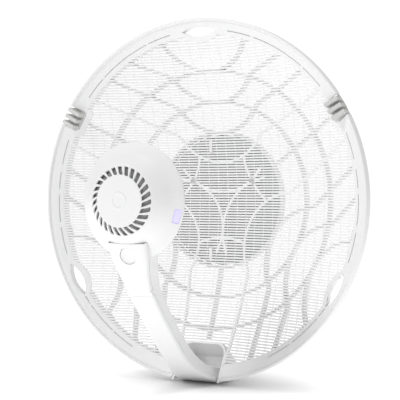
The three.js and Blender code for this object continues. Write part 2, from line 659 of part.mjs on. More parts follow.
// Distance along the arm's front at which it has come down to a height.
function alongAt(z) {
  let [low, high] = [0, 1];
  for (let i = 0; i < 30; i += 1) {
    const mid = (low + high) / 2;
    if (spline.getPointAt(mid).y > z) low = mid; else high = mid;
  }
  return low * armLength;
}

function frameAt(s) {
  const u = THREE.MathUtils.clamp(s / armLength, 0, 1);
  const t = spline.getTangentAt(u);
  const p = spline.getPointAt(u).addScaledVector(t, s - u * armLength);
  return { p, down: t, inward: new THREE.Vector2(-t.y, t.x) };
}

const atDepth = (s, d) => {
  const { p, inward } = frameAt(s);
  return [p.x + inward.x * d, p.y + inward.y * d];
};

const NECK_BACK = -135;       // rim plane to where the neck begins to thin towards the arm
const thickness = (s) => THREE.MathUtils.lerp(
  NECK_T, ARM_T, THREE.MathUtils.smoothstep(frameAt(s).p.x, NECK_BACK, NECK_BACK + 30));

// Solid between two depths behind the arm's front face, from s0 to s1 along it.
function armBand(s0, s1, depth0, depth1, sideMargin = 0, widest = 60) {
  const steps = Math.max(2, Math.round((s1 - s0) / 18));
  const stations = Array.from({ length: steps + 1 }, (_, i) => s0 + ((s1 - s0) * i) / steps);
  const at = (d) => stations.map((s) => atDepth(s, typeof d === 'function' ? d(s) : d));
  const side = prismX([...at(depth0), ...at(depth1).reverse()], -widest, widest);
  const right = halfSpline.getPoints(11).map((p) => [p.x - sideMargin, p.y]);
  const left = right.map(([x, z]) => [-x, z]).reverse();
  return common(side, prismY([...right, ...left], -POLE_Y - 40, 80));
}

const rearFace = (margin) => (s) => thickness(s) - margin;
const PORT_TOP = alongAt(COVER_TOP);
const PIVOT_ROOM = 3;                     // from the door's pivot to the seam below it
const PORT_PIVOT = alongAt(NECK_END) - PIVOT_ROOM;
const PIVOT_DEPTH = 2.5;
const PIN_R = 1;
const pivotAt = atDepth(PORT_PIVOT, PIVOT_DEPTH);
const NECK_Z = -54;           // height at which the neck's direction is taken
const neck = frameAt(alongAt(NECK_Z));
const neckTilt = Math.atan2(neck.inward.y, neck.inward.x);

// From the neck's own frame (x, depth, up the neck) to the dish's, from a point on the face.
function inNeck(part, s, depth) {
  const [y, z] = atDepth(s, depth);
  const m = new THREE.Matrix4().makeRotationX(neckTilt).setPosition(0, y, z);
  return part.transform(m.elements);
}

const JACK_S = alongAt(JACK_Z);
const JACK_DEPTH = 3.6 + JACK_T / 2;
const jackBody = (grow) => inNeck(box(-JACK_HALF - grow, JACK_HALF + grow,
  -JACK_T / 2 - grow, JACK_T / 2 + grow, -grow, JACK_LENGTH + grow), JACK_S, JACK_DEPTH);

const armEnvelope = armBand(-GAP, alongAt(-85), -6, (s) => thickness(s) + GAP, -GAP);
const bossBar = (a, r) => {
  const at = [HEAD_SCREW_R * Math.cos(rad(a)), HEAD_SCREW_R * Math.sin(rad(a))];
  return bar('y', r, HEAD_SPLIT - 20, HEAD_BACK, at, 14);
};

// Light pipe of the status light, through the front cap's side.
const LED_ANGLE = -16;
const LED_HALF = 7;
const ledBlock = (grow) => box(HEAD_R - 7.6 - grow, HEAD_R, HEAD_SPLIT - 8 - grow,
  HEAD_SPLIT - 1.9 + grow, -LED_HALF - grow, LED_HALF + grow).rotate([0, -LED_ANGLE, 0]);

function headFrontCap() {
  const outer = headSolid(true, 0);
  const inner = headSolid(true, WALL).translate([0, 0.2, 0]);
  const bosses = HEAD_SCREWS.map((a) => common(bossBar(a, BOSS_R), outer));
  const holes = HEAD_SCREWS.map((a) => common(
    bossBar(a, SCREW_R + SCREW_CLEAR), box(-80, 80, HEAD_SPLIT - 6, HEAD_SPLIT + 5, -80, 80)));
  const slots = Array.from({ length: VENT_COUNT }, (_, i) => {
    const a = (360 * i) / VENT_COUNT;
    const corner = (r, side, swirl) => {
      const turn = rad(a + swirl) + (side * VENT_WIDTH) / (2 * r);
      return [r * Math.cos(turn), r * Math.sin(turn)];
    };
    return prismY([corner(VENT_OUT, -1, 0), corner(VENT_OUT, 1, 0),
      corner(VENT_IN, 1, -VENT_SWIRL), corner(VENT_IN, -1, -VENT_SWIRL)], HEAD_FRONT - 10, HEAD_FRONT + 14);
  });
  return cut(join(outer.subtract(inner), ...bosses), ...holes, ...slots, armEnvelope,
    ledBlock(GAP));
}
place('head_front_cap', headFrontCap(), whitePlastic());

// The rear housing is one moulding: the head's bowl, the neck and the arm's channel.
const FEED_HOLE = HORN_R + 0.6;
function armHousing() {
  const s1 = armLength;
  const bowl = headSolid(false, 0);
  const channel = armBand(0, s1, COVER_T + GAP, rearFace(0));
  const pocket = headSolid(false, WALL).translate([0, -0.2, 0]);
  const upperVoid = armBand(-1, alongAt(SOCKET_TOP + 0.5), COVER_T - 1, rearFace(WALL), WALL);
  const lowerVoid = common(
    armBand(alongAt(SOCKET_TOP + 1.5), s1, COVER_T - 1, rearFace(WALL), WALL),
    box(-CABLE_HALF, CABLE_HALF, -200, 100, -DISH_R - 14, SOCKET_TOP + 16));
  const exit = box(-CABLE_HALF, CABLE_HALF, 38, 60, CABLE_EXIT[1] - GROMMET_R - 0.5,
    CABLE_EXIT[1] + GROMMET_R);
  const bosses = HEAD_SCREWS.map((a) => common(bossBar(a, BOSS_R), bowl));
  const holes = HEAD_SCREWS.map((a) => bossBar(a, SCREW_R + SCREW_CLEAR));
  const heads = HEAD_SCREWS.map((a) => common(
    bossBar(a, 3.9), box(-80, 80, HEAD_SPLIT + 11, 0, -80, 80)));
  const footHoles = [1, -1].map((k) => bar(
    'y', SCREW_R + SCREW_CLEAR, 28, 60, [k * FOOT_SCREW[0], FOOT_SCREW[1]], 12));
  const earBlock = armBand(PORT_PIVOT - 3.2, PORT_PIVOT + 2.2, 0.4, COVER_T + 2);
  const earGap = armBand(PORT_PIVOT - 6, PORT_PIVOT + 6, -3, COVER_T + 4, WALL);
  const pin = bar('x', PIN_R + 0.1, -ACROSS, ACROSS, pivotAt, 12);
  const shell = join(bowl, channel);
  const hollow = cut(shell, pocket, upperVoid, lowerVoid, exit);
  return cut(join(hollow, ...bosses, earBlock.subtract(earGap)),
    ...holes, ...heads, ...footHoles, pin,
    bar('y', FEED_HOLE, HEAD_BACK - 18, -60, [0, 0], 28));
}
place('arm_housing', armHousing(), whitePlastic());

function armFrontCover() {
  const s0 = PORT_PIVOT + PIVOT_ROOM;
  const skin = armBand(s0, armLength, 0, COVER_T);
  const hollow = armBand(s0 - 2, alongAt(16 - DISH_R), WALL, COVER_T + 1, WALL);
  return cut(skin, hollow);
}
place('arm_front_cover', armFrontCover(), whitePlastic());

// ---------------------------------------------------------------- port cover and its button

const BUTTON_S = alongAt(BUTTON_Z);
const button = frameAt(BUTTON_S);
const buttonTilt = Math.atan2(button.inward.y, button.inward.x);
function onButton(r, depth0, depth1, sides = 28) {
  const m = new THREE.Matrix4().makeRotationX(buttonTilt)
    .setPosition(0, button.p.x, button.p.y);
  return bar('y', r, depth0, depth1, [0, 0], sides).transform(m.elements);
}

function portCover() {
  const lower = PORT_PIVOT - 4;
  const skin = armBand(PORT_TOP, lower, 0, COVER_T);
  const hollow = armBand(PORT_TOP - 3, lower + 3, WALL, COVER_T + 1, WALL);
  const tongue = common(
    join(armBand(lower - 2, PORT_PIVOT, 0, COVER_T, WALL + GAP),
      bar('x', PIVOT_DEPTH, -ACROSS, ACROSS, pivotAt, 20)),
    box(-11.5, 11.5, -200, 0, -120, -50));
  return cut(join(skin.subtract(hollow), tongue),
    bar('x', PIN_R + 0.1, -ACROSS, ACROSS, pivotAt, 12), onButton(BUTTON_R + GAP, -10, 20));
}
place('port_cover', portCover(), whitePlastic());

const pinHalf = halfSpline.getPoints(60).find((p) => p.y < -97).x - 0.6;
place('cover_hinge_pin', bar('x', PIN_R, -pinHalf, pinHalf, pivotAt, 12), steel());

place('release_button', join(
  onButton(BUTTON_R, BUTTON_SINK, WALL + 1.2),
  onButton(BUTTON_R + 1.4, WALL + GAP + 0.5, WALL + 1.8)), whitePlastic());

// ---------------------------------------------------------------- ports in the neck

function ethernetJack() {
  const socket = inNeck(box(-6, 6, -3.6, 3.6, -2, 11), JACK_S, JACK_DEPTH);
  return cut(jackBody(0), socket);
}
place('ethernet_jack', ethernetJack(), tinPlate());

const headRoom = join(headSolid(true, WALL + GAP).translate([0, 0.2, 0]),
  headSolid(false, WALL + GAP), box(-50, 50, -134, -126, -50, 50));
const RESET_X = 12.2;
const resetBar = (r, a, b) => inNeck(bar('z', r, a, b, [RESET_X, 0], 14), JACK_S, JACK_DEPTH);

function portSeal() {
  const plate = inNeck(box(-17, 17, -6, 6.5, 1, 3), JACK_S, JACK_DEPTH);
  return cut(common(plate, headRoom), jackBody(GAP), resetBar(2.2, -5, 10), armEnvelope);
}
place('port_seal', portSeal(), rubber());
place('reset_button', join(resetBar(1.8, -1.5, 6), resetBar(2.8, 3.4, 4.6)), darkPlastic());

// ---------------------------------------------------------------- inside the head

function headGasket() {
  const [inner, outer] = [GASKET_R - 0.9, GASKET_R + 0.9];
  const ringBand = turned([[inner, HEAD_SPLIT - 1], [outer, HEAD_SPLIT - 1],
    [outer, HEAD_SPLIT + 1], [inner, HEAD_SPLIT + 1]], 36);
  return cut(ringBand, armEnvelope);
}
place('head_gasket', headGasket(), rubber());

HEAD_SCREWS.forEach((a, i) => {
  const at = [HEAD_SCREW_R * Math.cos(rad(a)), HEAD_SCREW_R * Math.sin(rad(a))];
  place(`head_screw_${i + 1}`,
    screwY(at, 3.4, 2.4, HEAD_SPLIT + 11 + GAP + 2.4, HEAD_SPLIT - 5), steel());
});

place('led_window', common(ledBlock(0), headSolid(true, 0.2)), violetLens());

const BOARD_FRONT = HEAD_SPLIT - 3;
const BOARD_REAR = HEAD_SPLIT - 1.4;
const BOARD_FLAT = -33.5;             // height of the flat that clears the neck
const roundBoard = turned([[0, BOARD_FRONT], [BOARD_R, BOARD_FRONT],
  [BOARD_R, BOARD_REAR], [0, BOARD_REAR]], 32);
place('main_board', cut(roundBoard, box(-BOARD_R, BOARD_R, BOARD_FRONT - 5, BOARD_REAR + 5,
  -BOARD_R - 5, BOARD_FLAT)), board());

const SINK_PLATE = BOARD_FRONT - 9;   // front face of the heat sink's plate
const FIN_PITCH = 7;
const RESET_TRAVEL = 1.5;
function heatSink() {
  const plate = turned([[0, SINK_PLATE], [SINK_R, SINK_PLATE],
    [SINK_R, SINK_PLATE + 3], [0, SINK_PLATE + 3]], 36);
  const fins = Array.from({ length: 9 }, (_, i) => {
    const x = (i - 4) * FIN_PITCH;
    const half = Math.sqrt((SINK_R - 2) ** 2 - x * x);
    return box(x - 1, x + 1, SINK_PLATE - 7, SINK_PLATE + 1, -half, half);
  });
  return cut(join(plate, ...fins), jackBody(0.5), resetBar(3.4, -3, 6 + RESET_TRAVEL + 1),
    armEnvelope);
}
place('heat_sink', heatSink(), castAluminium());
place('rf_shield', box(-SHIELD_HALF, SHIELD_HALF, SINK_PLATE + 3 + GAP, BOARD_FRONT - GAP,
  -SHIELD_HALF, SHIELD_HALF), tinPlate());

const HORN_FOOT = BOARD_REAR + GAP;
const HORN_MOUTH = HEAD_BACK + 4;
const HORN_THROAT = 9;                // inner radius at the board
place('feed_horn', turned([[HORN_THROAT, HORN_FOOT], [HORN_R, HORN_FOOT], [HORN_R, HORN_MOUTH],
  [HORN_R - 1.5, HORN_MOUTH], [HORN_THROAT, HORN_MOUTH - 12]], 28), castAluminium());
place('feed_lens', turned([[0, HORN_MOUTH + 0.4], [HORN_R, HORN_MOUTH + 0.4],
  [HORN_R, HORN_MOUTH + 4], [11, LENS_TIP - 3], [6, LENS_TIP - 0.5], [0, LENS_TIP]], 28),
darkPlastic());

[1, -1].forEach((k) => {
  const side = k > 0 ? 'right' : 'left';
  const at = [k * FOOT_SCREW[0], FOOT_SCREW[1]];
  place(`arm_screw_${side}`, screwY(at, 3.6, 2.4, SOCKET_BACK + GAP + 2.4, 30), steel());
});

export default object;
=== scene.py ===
import json
import math
from itertools import accumulate

import bmesh
import bpy
from mathutils import Matrix, Vector


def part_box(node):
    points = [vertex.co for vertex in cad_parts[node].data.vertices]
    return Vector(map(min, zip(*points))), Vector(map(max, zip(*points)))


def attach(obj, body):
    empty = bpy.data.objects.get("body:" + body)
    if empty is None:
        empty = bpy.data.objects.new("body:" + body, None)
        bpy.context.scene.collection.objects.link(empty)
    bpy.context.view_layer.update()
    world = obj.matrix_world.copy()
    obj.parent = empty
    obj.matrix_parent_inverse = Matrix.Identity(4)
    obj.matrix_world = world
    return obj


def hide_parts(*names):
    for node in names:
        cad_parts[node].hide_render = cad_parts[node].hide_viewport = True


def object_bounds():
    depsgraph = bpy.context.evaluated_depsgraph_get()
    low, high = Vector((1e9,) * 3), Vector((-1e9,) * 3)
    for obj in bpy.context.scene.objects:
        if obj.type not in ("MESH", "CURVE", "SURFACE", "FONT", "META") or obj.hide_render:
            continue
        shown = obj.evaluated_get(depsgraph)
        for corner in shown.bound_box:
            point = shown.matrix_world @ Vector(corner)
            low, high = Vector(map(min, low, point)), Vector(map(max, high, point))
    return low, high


bl_info = {
    "name": "Outdoor wireless bridge",
    "version": (1, 0, 0),
    "blender": (4, 5, 0),
    "location": "View3D > Sidebar > Bridge",
    "description": "Builds the visible surfaces of a meshed dish with a radio head on an arm",
    "category": "Object",
}

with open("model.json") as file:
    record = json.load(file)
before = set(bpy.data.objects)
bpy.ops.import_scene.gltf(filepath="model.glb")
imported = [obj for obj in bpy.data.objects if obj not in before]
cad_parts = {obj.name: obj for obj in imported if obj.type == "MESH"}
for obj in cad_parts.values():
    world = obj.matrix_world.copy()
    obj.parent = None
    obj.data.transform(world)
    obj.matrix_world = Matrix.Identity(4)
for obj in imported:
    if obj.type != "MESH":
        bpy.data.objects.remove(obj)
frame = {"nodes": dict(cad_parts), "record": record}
CAD_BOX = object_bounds()

MM = 0.001
RIM_LOW, RIM_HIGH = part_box("rim_frame")
PLANE = RIM_LOW.y + 1e-9
RIM_R = RIM_HIGH.x

# ------------------------------------------------------------------ sizes and colours


def a_length(name, description, default):
    return bpy.props.FloatProperty(
        name=name, description=description, default=default, unit="LENGTH")


def an_angle(name, description, degrees):
    return bpy.props.FloatProperty(name=name, description=description, subtype="ANGLE",
                                   unit="ROTATION", default=math.radians(degrees))


def a_colour(name, description, default):
    return bpy.props.FloatVectorProperty(name=name, description=description, subtype="COLOR",
                                         size=3, default=default, min=0, max=1)


class DishSizes(bpy.types.PropertyGroup):
    """Sizes of the dish's bowl, its mesh and its ribs."""

    radius: a_length("Dish radius", "Outer radius of the rim", RIM_R)
    depth: a_length("Dish depth", "Rim plane to the bottom of the bowl", 0.070)
    slat_pitch: a_length("Slat pitch", "Height from one slat of the mesh to the next", 0.0031)
    slat_height: a_length("Slat height", "Height of one slat of the mesh", 0.0021)
    slat_depth: a_length("Slat depth", "Front to back of a slat", 0.0009)
    tie_pitch: a_length("Tie pitch", "Spacing of the fine uprights behind the slats", 0.0124)
    tie_width: a_length("Tie width", "Width of a fine upright", 0.0007)
    rib_width: a_length("Rib width", "Thickness of a rib", 0.0032)
    rib_depth: a_length("Rib depth", "Front to back of a rib", 0.0095)


class HeadSizes(bpy.types.PropertyGroup):
    """Sizes of the radio head's front cap."""

    vent_count: bpy.props.IntProperty(
        name="Vents", description="Slots in the swirled ring", default=27, min=9, max=45)
    vent_width: a_length("Vent width", "Width of one slot", 0.0047)
    vent_swirl: an_angle("Vent swirl", "Turn of a slot from end to end", 9.0)
    cap_wall: a_length("Cap wall", "Wall of the front cap", 0.0022)


class ArmSizes(bpy.types.PropertyGroup):
    """Sizes of the covers on the front of the arm."""

    cover_depth: a_length("Cover depth", "How far the covers reach round the arm's sides", 0.005)
    corner: a_length("Corner radius", "Rounding of the covers' long edges", 0.0032)
    wall: a_length("Cover wall", "Wall of the covers", 0.0022)
    button_radius: a_length("Button radius", "Radius of the release button", 0.009)


class BridgeColours(bpy.types.PropertyGroup):
    """Colours of the finishes."""

    white: a_colour("White plastic", "Moulded housing", (0.85, 0.85, 0.855))
    grey: a_colour("Grey plastic", "Hub plate behind the mesh", (0.45, 0.455, 0.465))
    dark: a_colour("Dark plastic", "Feed lens and reset button", (0.022, 0.022, 0.024))
    glow: a_colour("Status light", "Colour of the lit window", (0.60, 0.56, 0.92))


class StageSettings(bpy.types.PropertyGroup):
    """Camera and light."""

    azimuth: an_angle("Camera azimuth", "Camera's angle round the dish's axis", 29.13)
    elevation: an_angle("Camera elevation", "Camera's angle above level", 0.37)
    distance: a_length("Camera distance", "From the middle of the rim", 1.3)
    sky: bpy.props.FloatProperty(
        name="Sky strength", description="Light that the plain surroundings give",
        default=0.46, min=0)
    backdrop: bpy.props.FloatProperty(
        name="Backdrop", description="Brightness of the surroundings as seen",
        default=1.05, min=0)


# ------------------------------------------------------------------ small tools


def at(x, y, z):
    """A point given in millimetres from the middle of the rim, in the row frame."""
    return Vector((x * MM, PLANE + y * MM, z * MM))


def keep(name, mesh, body, slot, *nodes, smooth=40.0, coat=None):
    """Links a finished mesh as a piece that rides on a body and stands for CAD nodes."""
    piece = bpy.data.objects.new(name, mesh)
    bpy.context.scene.collection.objects.link(piece)
    for face in mesh.polygons:
        face.use_smooth = True
    mesh.set_sharp_from_angle(angle=math.radians(smooth))
    if coat is not None:
        mesh.materials.clear()
        mesh.materials.append(coat)
    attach(piece, body)
    if nodes:
        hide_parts(*nodes)
    return piece


def evaluated(source):
    """The mesh that an object's modifiers make. The object itself is removed."""
    bpy.context.view_layer.update()
    graph = bpy.context.evaluated_depsgraph_get()
    mesh = bpy.data.meshes.new_from_object(
        source.evaluated_get(graph), preserve_all_data_layers=True, depsgraph=graph)
    discard(source)
    return mesh


def discard(thing):
    """Removes an object and its mesh."""
    mesh = thing.data
    bpy.data.objects.remove(thing)
    bpy.data.meshes.remove(mesh)


def loose_object(name, mesh):
    thing = bpy.data.objects.new(name, mesh)
    bpy.context.scene.collection.objects.link(thing)
    return thing


def mesh_of(bm, name, outward=True):
    if outward:
        bmesh.ops.remove_doubles(bm, verts=bm.verts, dist=1e-7)
        bmesh.ops.recalc_face_normals(bm, faces=bm.faces)
    mesh = bpy.data.meshes.new(name)
    bm.to_mesh(mesh)
    bm.free()
    return mesh


def carve(solid, cutters, name, operation="DIFFERENCE"):
    """The solid with the cutters' space taken out of it, or only what they share with it."""
    target = loose_object(name, solid)
    tools = [loose_object(f"{name}_tool_{i}", cutter) for i, cutter in enumerate(cutters)]
    for tool in tools:
        step = target.modifiers.new("cut", "BOOLEAN")
        step.operation, step.solver, step.object = operation, "EXACT", tool
    mesh = evaluated(target)
    for tool in tools:
        discard(tool)
    return mesh


def web(bm, rows, round_rows=True, last_to_first=False):
    """Faces between neighbouring rows of vertices."""
    count = len(rows[0])
    for here, there in zip(rows, rows[1:] + rows[:1] if last_to_first else rows[1:]):
        for k in range(count if round_rows else count - 1):
            m = (k + 1) % count
            bm.faces.new([here[k], here[m], there[m], there[k]])


def lathe(profile, sides, name):
    """Solid of revolution about the dish's axis from (radius, y) points in millimetres."""
    bm = bmesh.new()
    turns = (2 * math.pi * i / sides for i in range(sides))
    web(bm, [[bm.verts.new(at(r * math.cos(a), y, r * math.sin(a))) for r, y in profile]
             for a in turns], last_to_first=True)
    return mesh_of(bm, name)


def prism(outline, y0, y1, name, turn=0.0):
    """Solid between two depths with an (x, z) outline in millimetres, turned about the axis."""
    bm = bmesh.new()
    c, s = math.cos(turn), math.sin(turn)
    flat = [(x * c - z * s, x * s + z * c) for x, z in outline]
    front = [bm.verts.new(at(x, y0, z)) for x, z in flat]
    back = [bm.verts.new(at(x, y1, z)) for x, z in flat]
    count = len(flat)
    bm.faces.new(front)
    bm.faces.new(back[::-1])
    for k in range(count):
        m = (k + 1) % count
        bm.faces.new([front[k], back[k], back[m], front[m]])
    return mesh_of(bm, name)


def joined(meshes, name):
    bm = bmesh.new()
    for mesh in meshes:
        bm.from_mesh(mesh)
        bpy.data.meshes.remove(mesh)
    return mesh_of(bm, name, outward=False)


# ------------------------------------------------------------------ node trees


class Tree:
    """A node group under construction, with a short way to add and link nodes."""

    def __init__(self, group):
        self.group = group

    def add(self, kind, inputs=(), **settings):
        node = self.group.nodes.new(kind)
        for key, value in settings.items():
            setattr(node, key, value)
        for key, value in dict(inputs).items():
            socket = node.inputs[key]
            if isinstance(value, bpy.types.NodeSocket):
                self.group.links.new(value, socket)
            else:
                socket.default_value = value
        return node

    def maths(self, operation, a, b):
        return self.add("ShaderNodeMath", {0: a, 1: b}, operation=operation).outputs[0]

    def mix(self, share, a, b):
        """Colour between a and b."""
        return self.add("ShaderNodeMix", {0: share, 6: a, 7: b}, data_type="RGBA").outputs[2]

    def surface(self, **sockets):
        """Principled shader on the material's output."""
        inputs = {key.replace("_", " "): value for key, value in sockets.items()}
        skin = self.add("ShaderNodeBsdfPrincipled", inputs)
        self.add("ShaderNodeOutputMaterial", {0: skin.outputs[0]})
        return skin


def geometry_tree(name, numbers):
    """A Geometry Nodes group with a mesh input, named number inputs and a material input."""
    group = bpy.data.node_groups.new(name, "GeometryNodeTree")
    group.interface.new_socket("Geometry", in_out="OUTPUT", socket_type="NodeSocketGeometry")
    group.interface.new_socket("Geometry", in_out="INPUT", socket_type="NodeSocketGeometry")
    for label, value in numbers.items():
        kind = "NodeSocketInt" if isinstance(value, int) else "NodeSocketFloat"
        socket = group.interface.new_socket(label, in_out="INPUT", socket_type=kind)
        socket.default_value = value
    group.interface.new_socket("Material", in_out="INPUT", socket_type="NodeSocketMaterial")
    tree = Tree(group)
    tree.source = tree.add("NodeGroupInput").outputs
    return tree


def close_tree(tree, geometry):
    real = tree.add("GeometryNodeRealizeInstances", {"Geometry": geometry})
    coat = tree.add("GeometryNodeSetMaterial",
                    {"Geometry": real.outputs[0], "Material": tree.source["Material"]})
    out = tree.add("NodeGroupOutput")
    tree.group.links.new(coat.outputs[0], out.inputs[0])
    return tree.group


def grown(name, base, group, values):
    """The mesh that a Geometry Nodes group makes from a base mesh, as a plain mesh."""
    seedling = loose_object(name, base)
    step = seedling.modifiers.new("grow", "NODES")
    step.node_group = group
    for item in group.interface.items_tree:
        if item.item_type == "SOCKET" and item.in_out == "INPUT" and item.name in values:
            step[item.identifier] = values[item.name]
    return evaluated(seedling)


def dish_bar_tree():
    """Bars that follow plan lines over the dish: slats, ties and ribs."""
    tree = geometry_tree("Bars over the dish", {
        "Dish Radius": 0.2065, "Dish Depth": 0.07, "Rim Plane": 0.0, "Set Back": 0.0,
        "Bar Width": 0.003, "Bar Depth": 0.001, "Edge Round": 0.0002})
    src = tree.source
    curve = tree.add("GeometryNodeMeshToCurve", {"Mesh": src["Geometry"]}).outputs[0]
    place = tree.add("GeometryNodeInputPosition").outputs[0]
    part = tree.add("ShaderNodeSeparateXYZ", {0: place}).outputs
    square = tree.maths("ADD", tree.maths("MULTIPLY", part["X"], part["X"]),
                        tree.maths("MULTIPLY", part["Z"], part["Z"]))
    whole = tree.maths("MULTIPLY", src["Dish Radius"], src["Dish Radius"])
    share = tree.maths("DIVIDE", square, whole)
    fall = tree.maths("MULTIPLY", tree.maths("SUBTRACT", 1.0, share), src["Dish Depth"])
    middle = tree.maths("MULTIPLY", src["Bar Depth"], 0.5)
    y = tree.maths("ADD", tree.maths("ADD", fall, src["Rim Plane"]),
                   tree.maths("ADD", src["Set Back"], middle))
    spot = tree.add("ShaderNodeCombineXYZ", {"X": part["X"], "Y": y, "Z": part["Z"]}).outputs[0]
    laid = tree.add("GeometryNodeSetPosition", {"Geometry": curve, "Position": spot}).outputs[0]
    stood = tree.add("GeometryNodeSetCurveNormal", {"Curve": laid, "Normal": (0, 1, 0)},
                     mode="FREE").outputs[0]
    section = tree.add("GeometryNodeCurvePrimitiveQuadrilateral",
                       {"Width": src["Bar Depth"], "Height": src["Bar Width"]}).outputs[0]
    eased = tree.add("GeometryNodeFilletCurve",
                     {"Curve": section, "Count": 1, "Radius": src["Edge Round"],
                      "Limit Radius": True}, mode="POLY").outputs[0]
    swept = tree.add("GeometryNodeCurveToMesh",
                     {"Curve": stood, "Profile Curve": eased, "Fill Caps": True}).outputs[0]
    return close_tree(tree, swept)


def screw_tree():
    """A screw on every point, heads turned to the side that the screw is driven from."""
    tree = geometry_tree("Screws on points", {"Turn": 0.0})
    src = tree.source
    tree.group.interface.new_socket("Screw", in_out="INPUT", socket_type="NodeSocketObject")
    screw = tree.add("GeometryNodeObjectInfo", {"Object": src["Screw"], "As Instance": True})
    turn = tree.add("ShaderNodeCombineXYZ", {"Z": src["Turn"]}).outputs[0]
    spots = tree.add("GeometryNodeInstanceOnPoints",
                     {"Points": src["Geometry"], "Instance": screw.outputs["Geometry"],
                      "Rotation": turn}).outputs[0]
    return close_tree(tree, spots)


def soften_tree():
    """Joins a carried node's triangles and shades them smooth up to a crease angle."""
    group = bpy.data.node_groups.new("Joined facets", "GeometryNodeTree")
    group.interface.new_socket("Geometry", in_out="OUTPUT", socket_type="NodeSocketGeometry")
    group.interface.new_socket("Geometry", in_out="INPUT", socket_type="NodeSocketGeometry")
    crease = group.interface.new_socket(
        "Crease Angle", in_out="INPUT", socket_type="NodeSocketFloat")
    crease.default_value = math.radians(32)
    tree = Tree(group)
    src = tree.add("NodeGroupInput").outputs
    bare = tree.add("GeometryNodeRemoveAttribute",
                    {"Geometry": src["Geometry"], "Name": "custom_normal"}).outputs[0]
    whole = tree.add("GeometryNodeMergeByDistance", {"Geometry": bare, "Distance": 2e-6}).outputs[0]
    soft = tree.add("GeometryNodeSetShadeSmooth", {"Geometry": whole, "Shade Smooth": True},
                    domain="FACE").outputs[0]
    angle = tree.add("GeometryNodeInputMeshEdgeAngle").outputs["Unsigned Angle"]
    steep = tree.add("FunctionNodeCompare", {0: angle, 1: src["Crease Angle"]},
                     data_type="FLOAT", operation="GREATER_THAN").outputs[0]
    sharp = tree.add("GeometryNodeSetShadeSmooth",
                     {"Geometry": soft, "Selection": steep, "Shade Smooth": False},
                     domain="EDGE").outputs[0]
    out = tree.add("NodeGroupOutput")
    group.links.new(sharp, out.inputs[0])
    return group


# ------------------------------------------------------------------ finishes


def blank_material(name):
    material = bpy.data.materials.new(name)
    material.use_nodes = True
    material.node_tree.nodes.clear()
    return material, Tree(material.node_tree)


def finish(name, tint, roughness, metallic=0.0, grain=900.0, grain_bump=0.06, cloud=0.02,
           stretch=(1, 1, 1), rough_swing=0.08, wear=0.0, **shader):
    """A moulded, cast or brushed surface: two scales of variation in colour, gloss and relief."""
    material, tree = blank_material(name)
    where = tree.add("ShaderNodeTexCoord").outputs["Object"]
    turned = tree.add("ShaderNodeMapping", {"Vector": where, "Scale": stretch}).outputs[0]
    fine = tree.add("ShaderNodeTexNoise", {"Vector": turned, "Scale": grain, "Detail": 3.0}).outputs
    broad = tree.add("ShaderNodeTexNoise", {"Vector": turned, "Scale": 14.0, "Detail": 2.0}).outputs
    light = [min(1.0, c * (1 + cloud)) for c in tint] + [1]
    deep = [c * (1 - cloud) for c in tint] + [1]
    tone = tree.mix(broad["Fac"], deep, light)
    # Lighter colour on sharp convex edges, found by pointiness.
    if wear:
        edge = tree.add("ShaderNodeNewGeometry").outputs["Pointiness"]
        lighter_edges = tree.add("ShaderNodeMapRange", {"Value": edge, "From Min": 0.52, "From Max": 0.6,
                                                 "To Min": 0.0, "To Max": wear}).outputs[0]
        tone = tree.mix(lighter_edges, tone, [min(1.0, c * 1.4 + 0.05) for c in tint] + [1])
    gloss = tree.add("ShaderNodeMapRange",
                     {"Value": fine["Fac"], "To Min": roughness - rough_swing / 2,
                      "To Max": roughness + rough_swing / 2}).outputs[0]
    relief = tree.add("ShaderNodeBump", {"Height": fine["Fac"], "Strength": grain_bump,
                                         "Distance": 0.0002}).outputs[0]
    tree.surface(Base_Color=tone, Roughness=gloss, Metallic=metallic, Normal=relief, **shader)
    return material


def board_finish():
    """Green solder mask with tracks and pads."""
    material, tree = blank_material("solder_mask")
    where = tree.add("ShaderNodeTexCoord").outputs["Object"]
    cells = tree.add("ShaderNodeTexVoronoi", {"Vector": where, "Scale": 240.0},
                     distance="MANHATTAN").outputs
    pads = tree.add("ShaderNodeMapRange", {"Value": cells["Distance"], "From Min": 0.16,
                                           "From Max": 0.2}).outputs[0]
    tracks = tree.add("ShaderNodeTexWave", {"Vector": where, "Scale": 160.0, "Distortion": 5.0,
                                            "Detail": 1.0}).outputs["Fac"]
    mask = tree.mix(tracks, (0.006, 0.07, 0.03, 1), (0.012, 0.13, 0.055, 1))
    relief = tree.add("ShaderNodeBump",
                      {"Height": pads, "Strength": 0.3, "Distance": 0.0001}).outputs[0]
    tree.surface(Base_Color=tree.mix(pads, (0.62, 0.55, 0.3, 1), mask), Roughness=0.35,
                 Normal=relief)
    return material


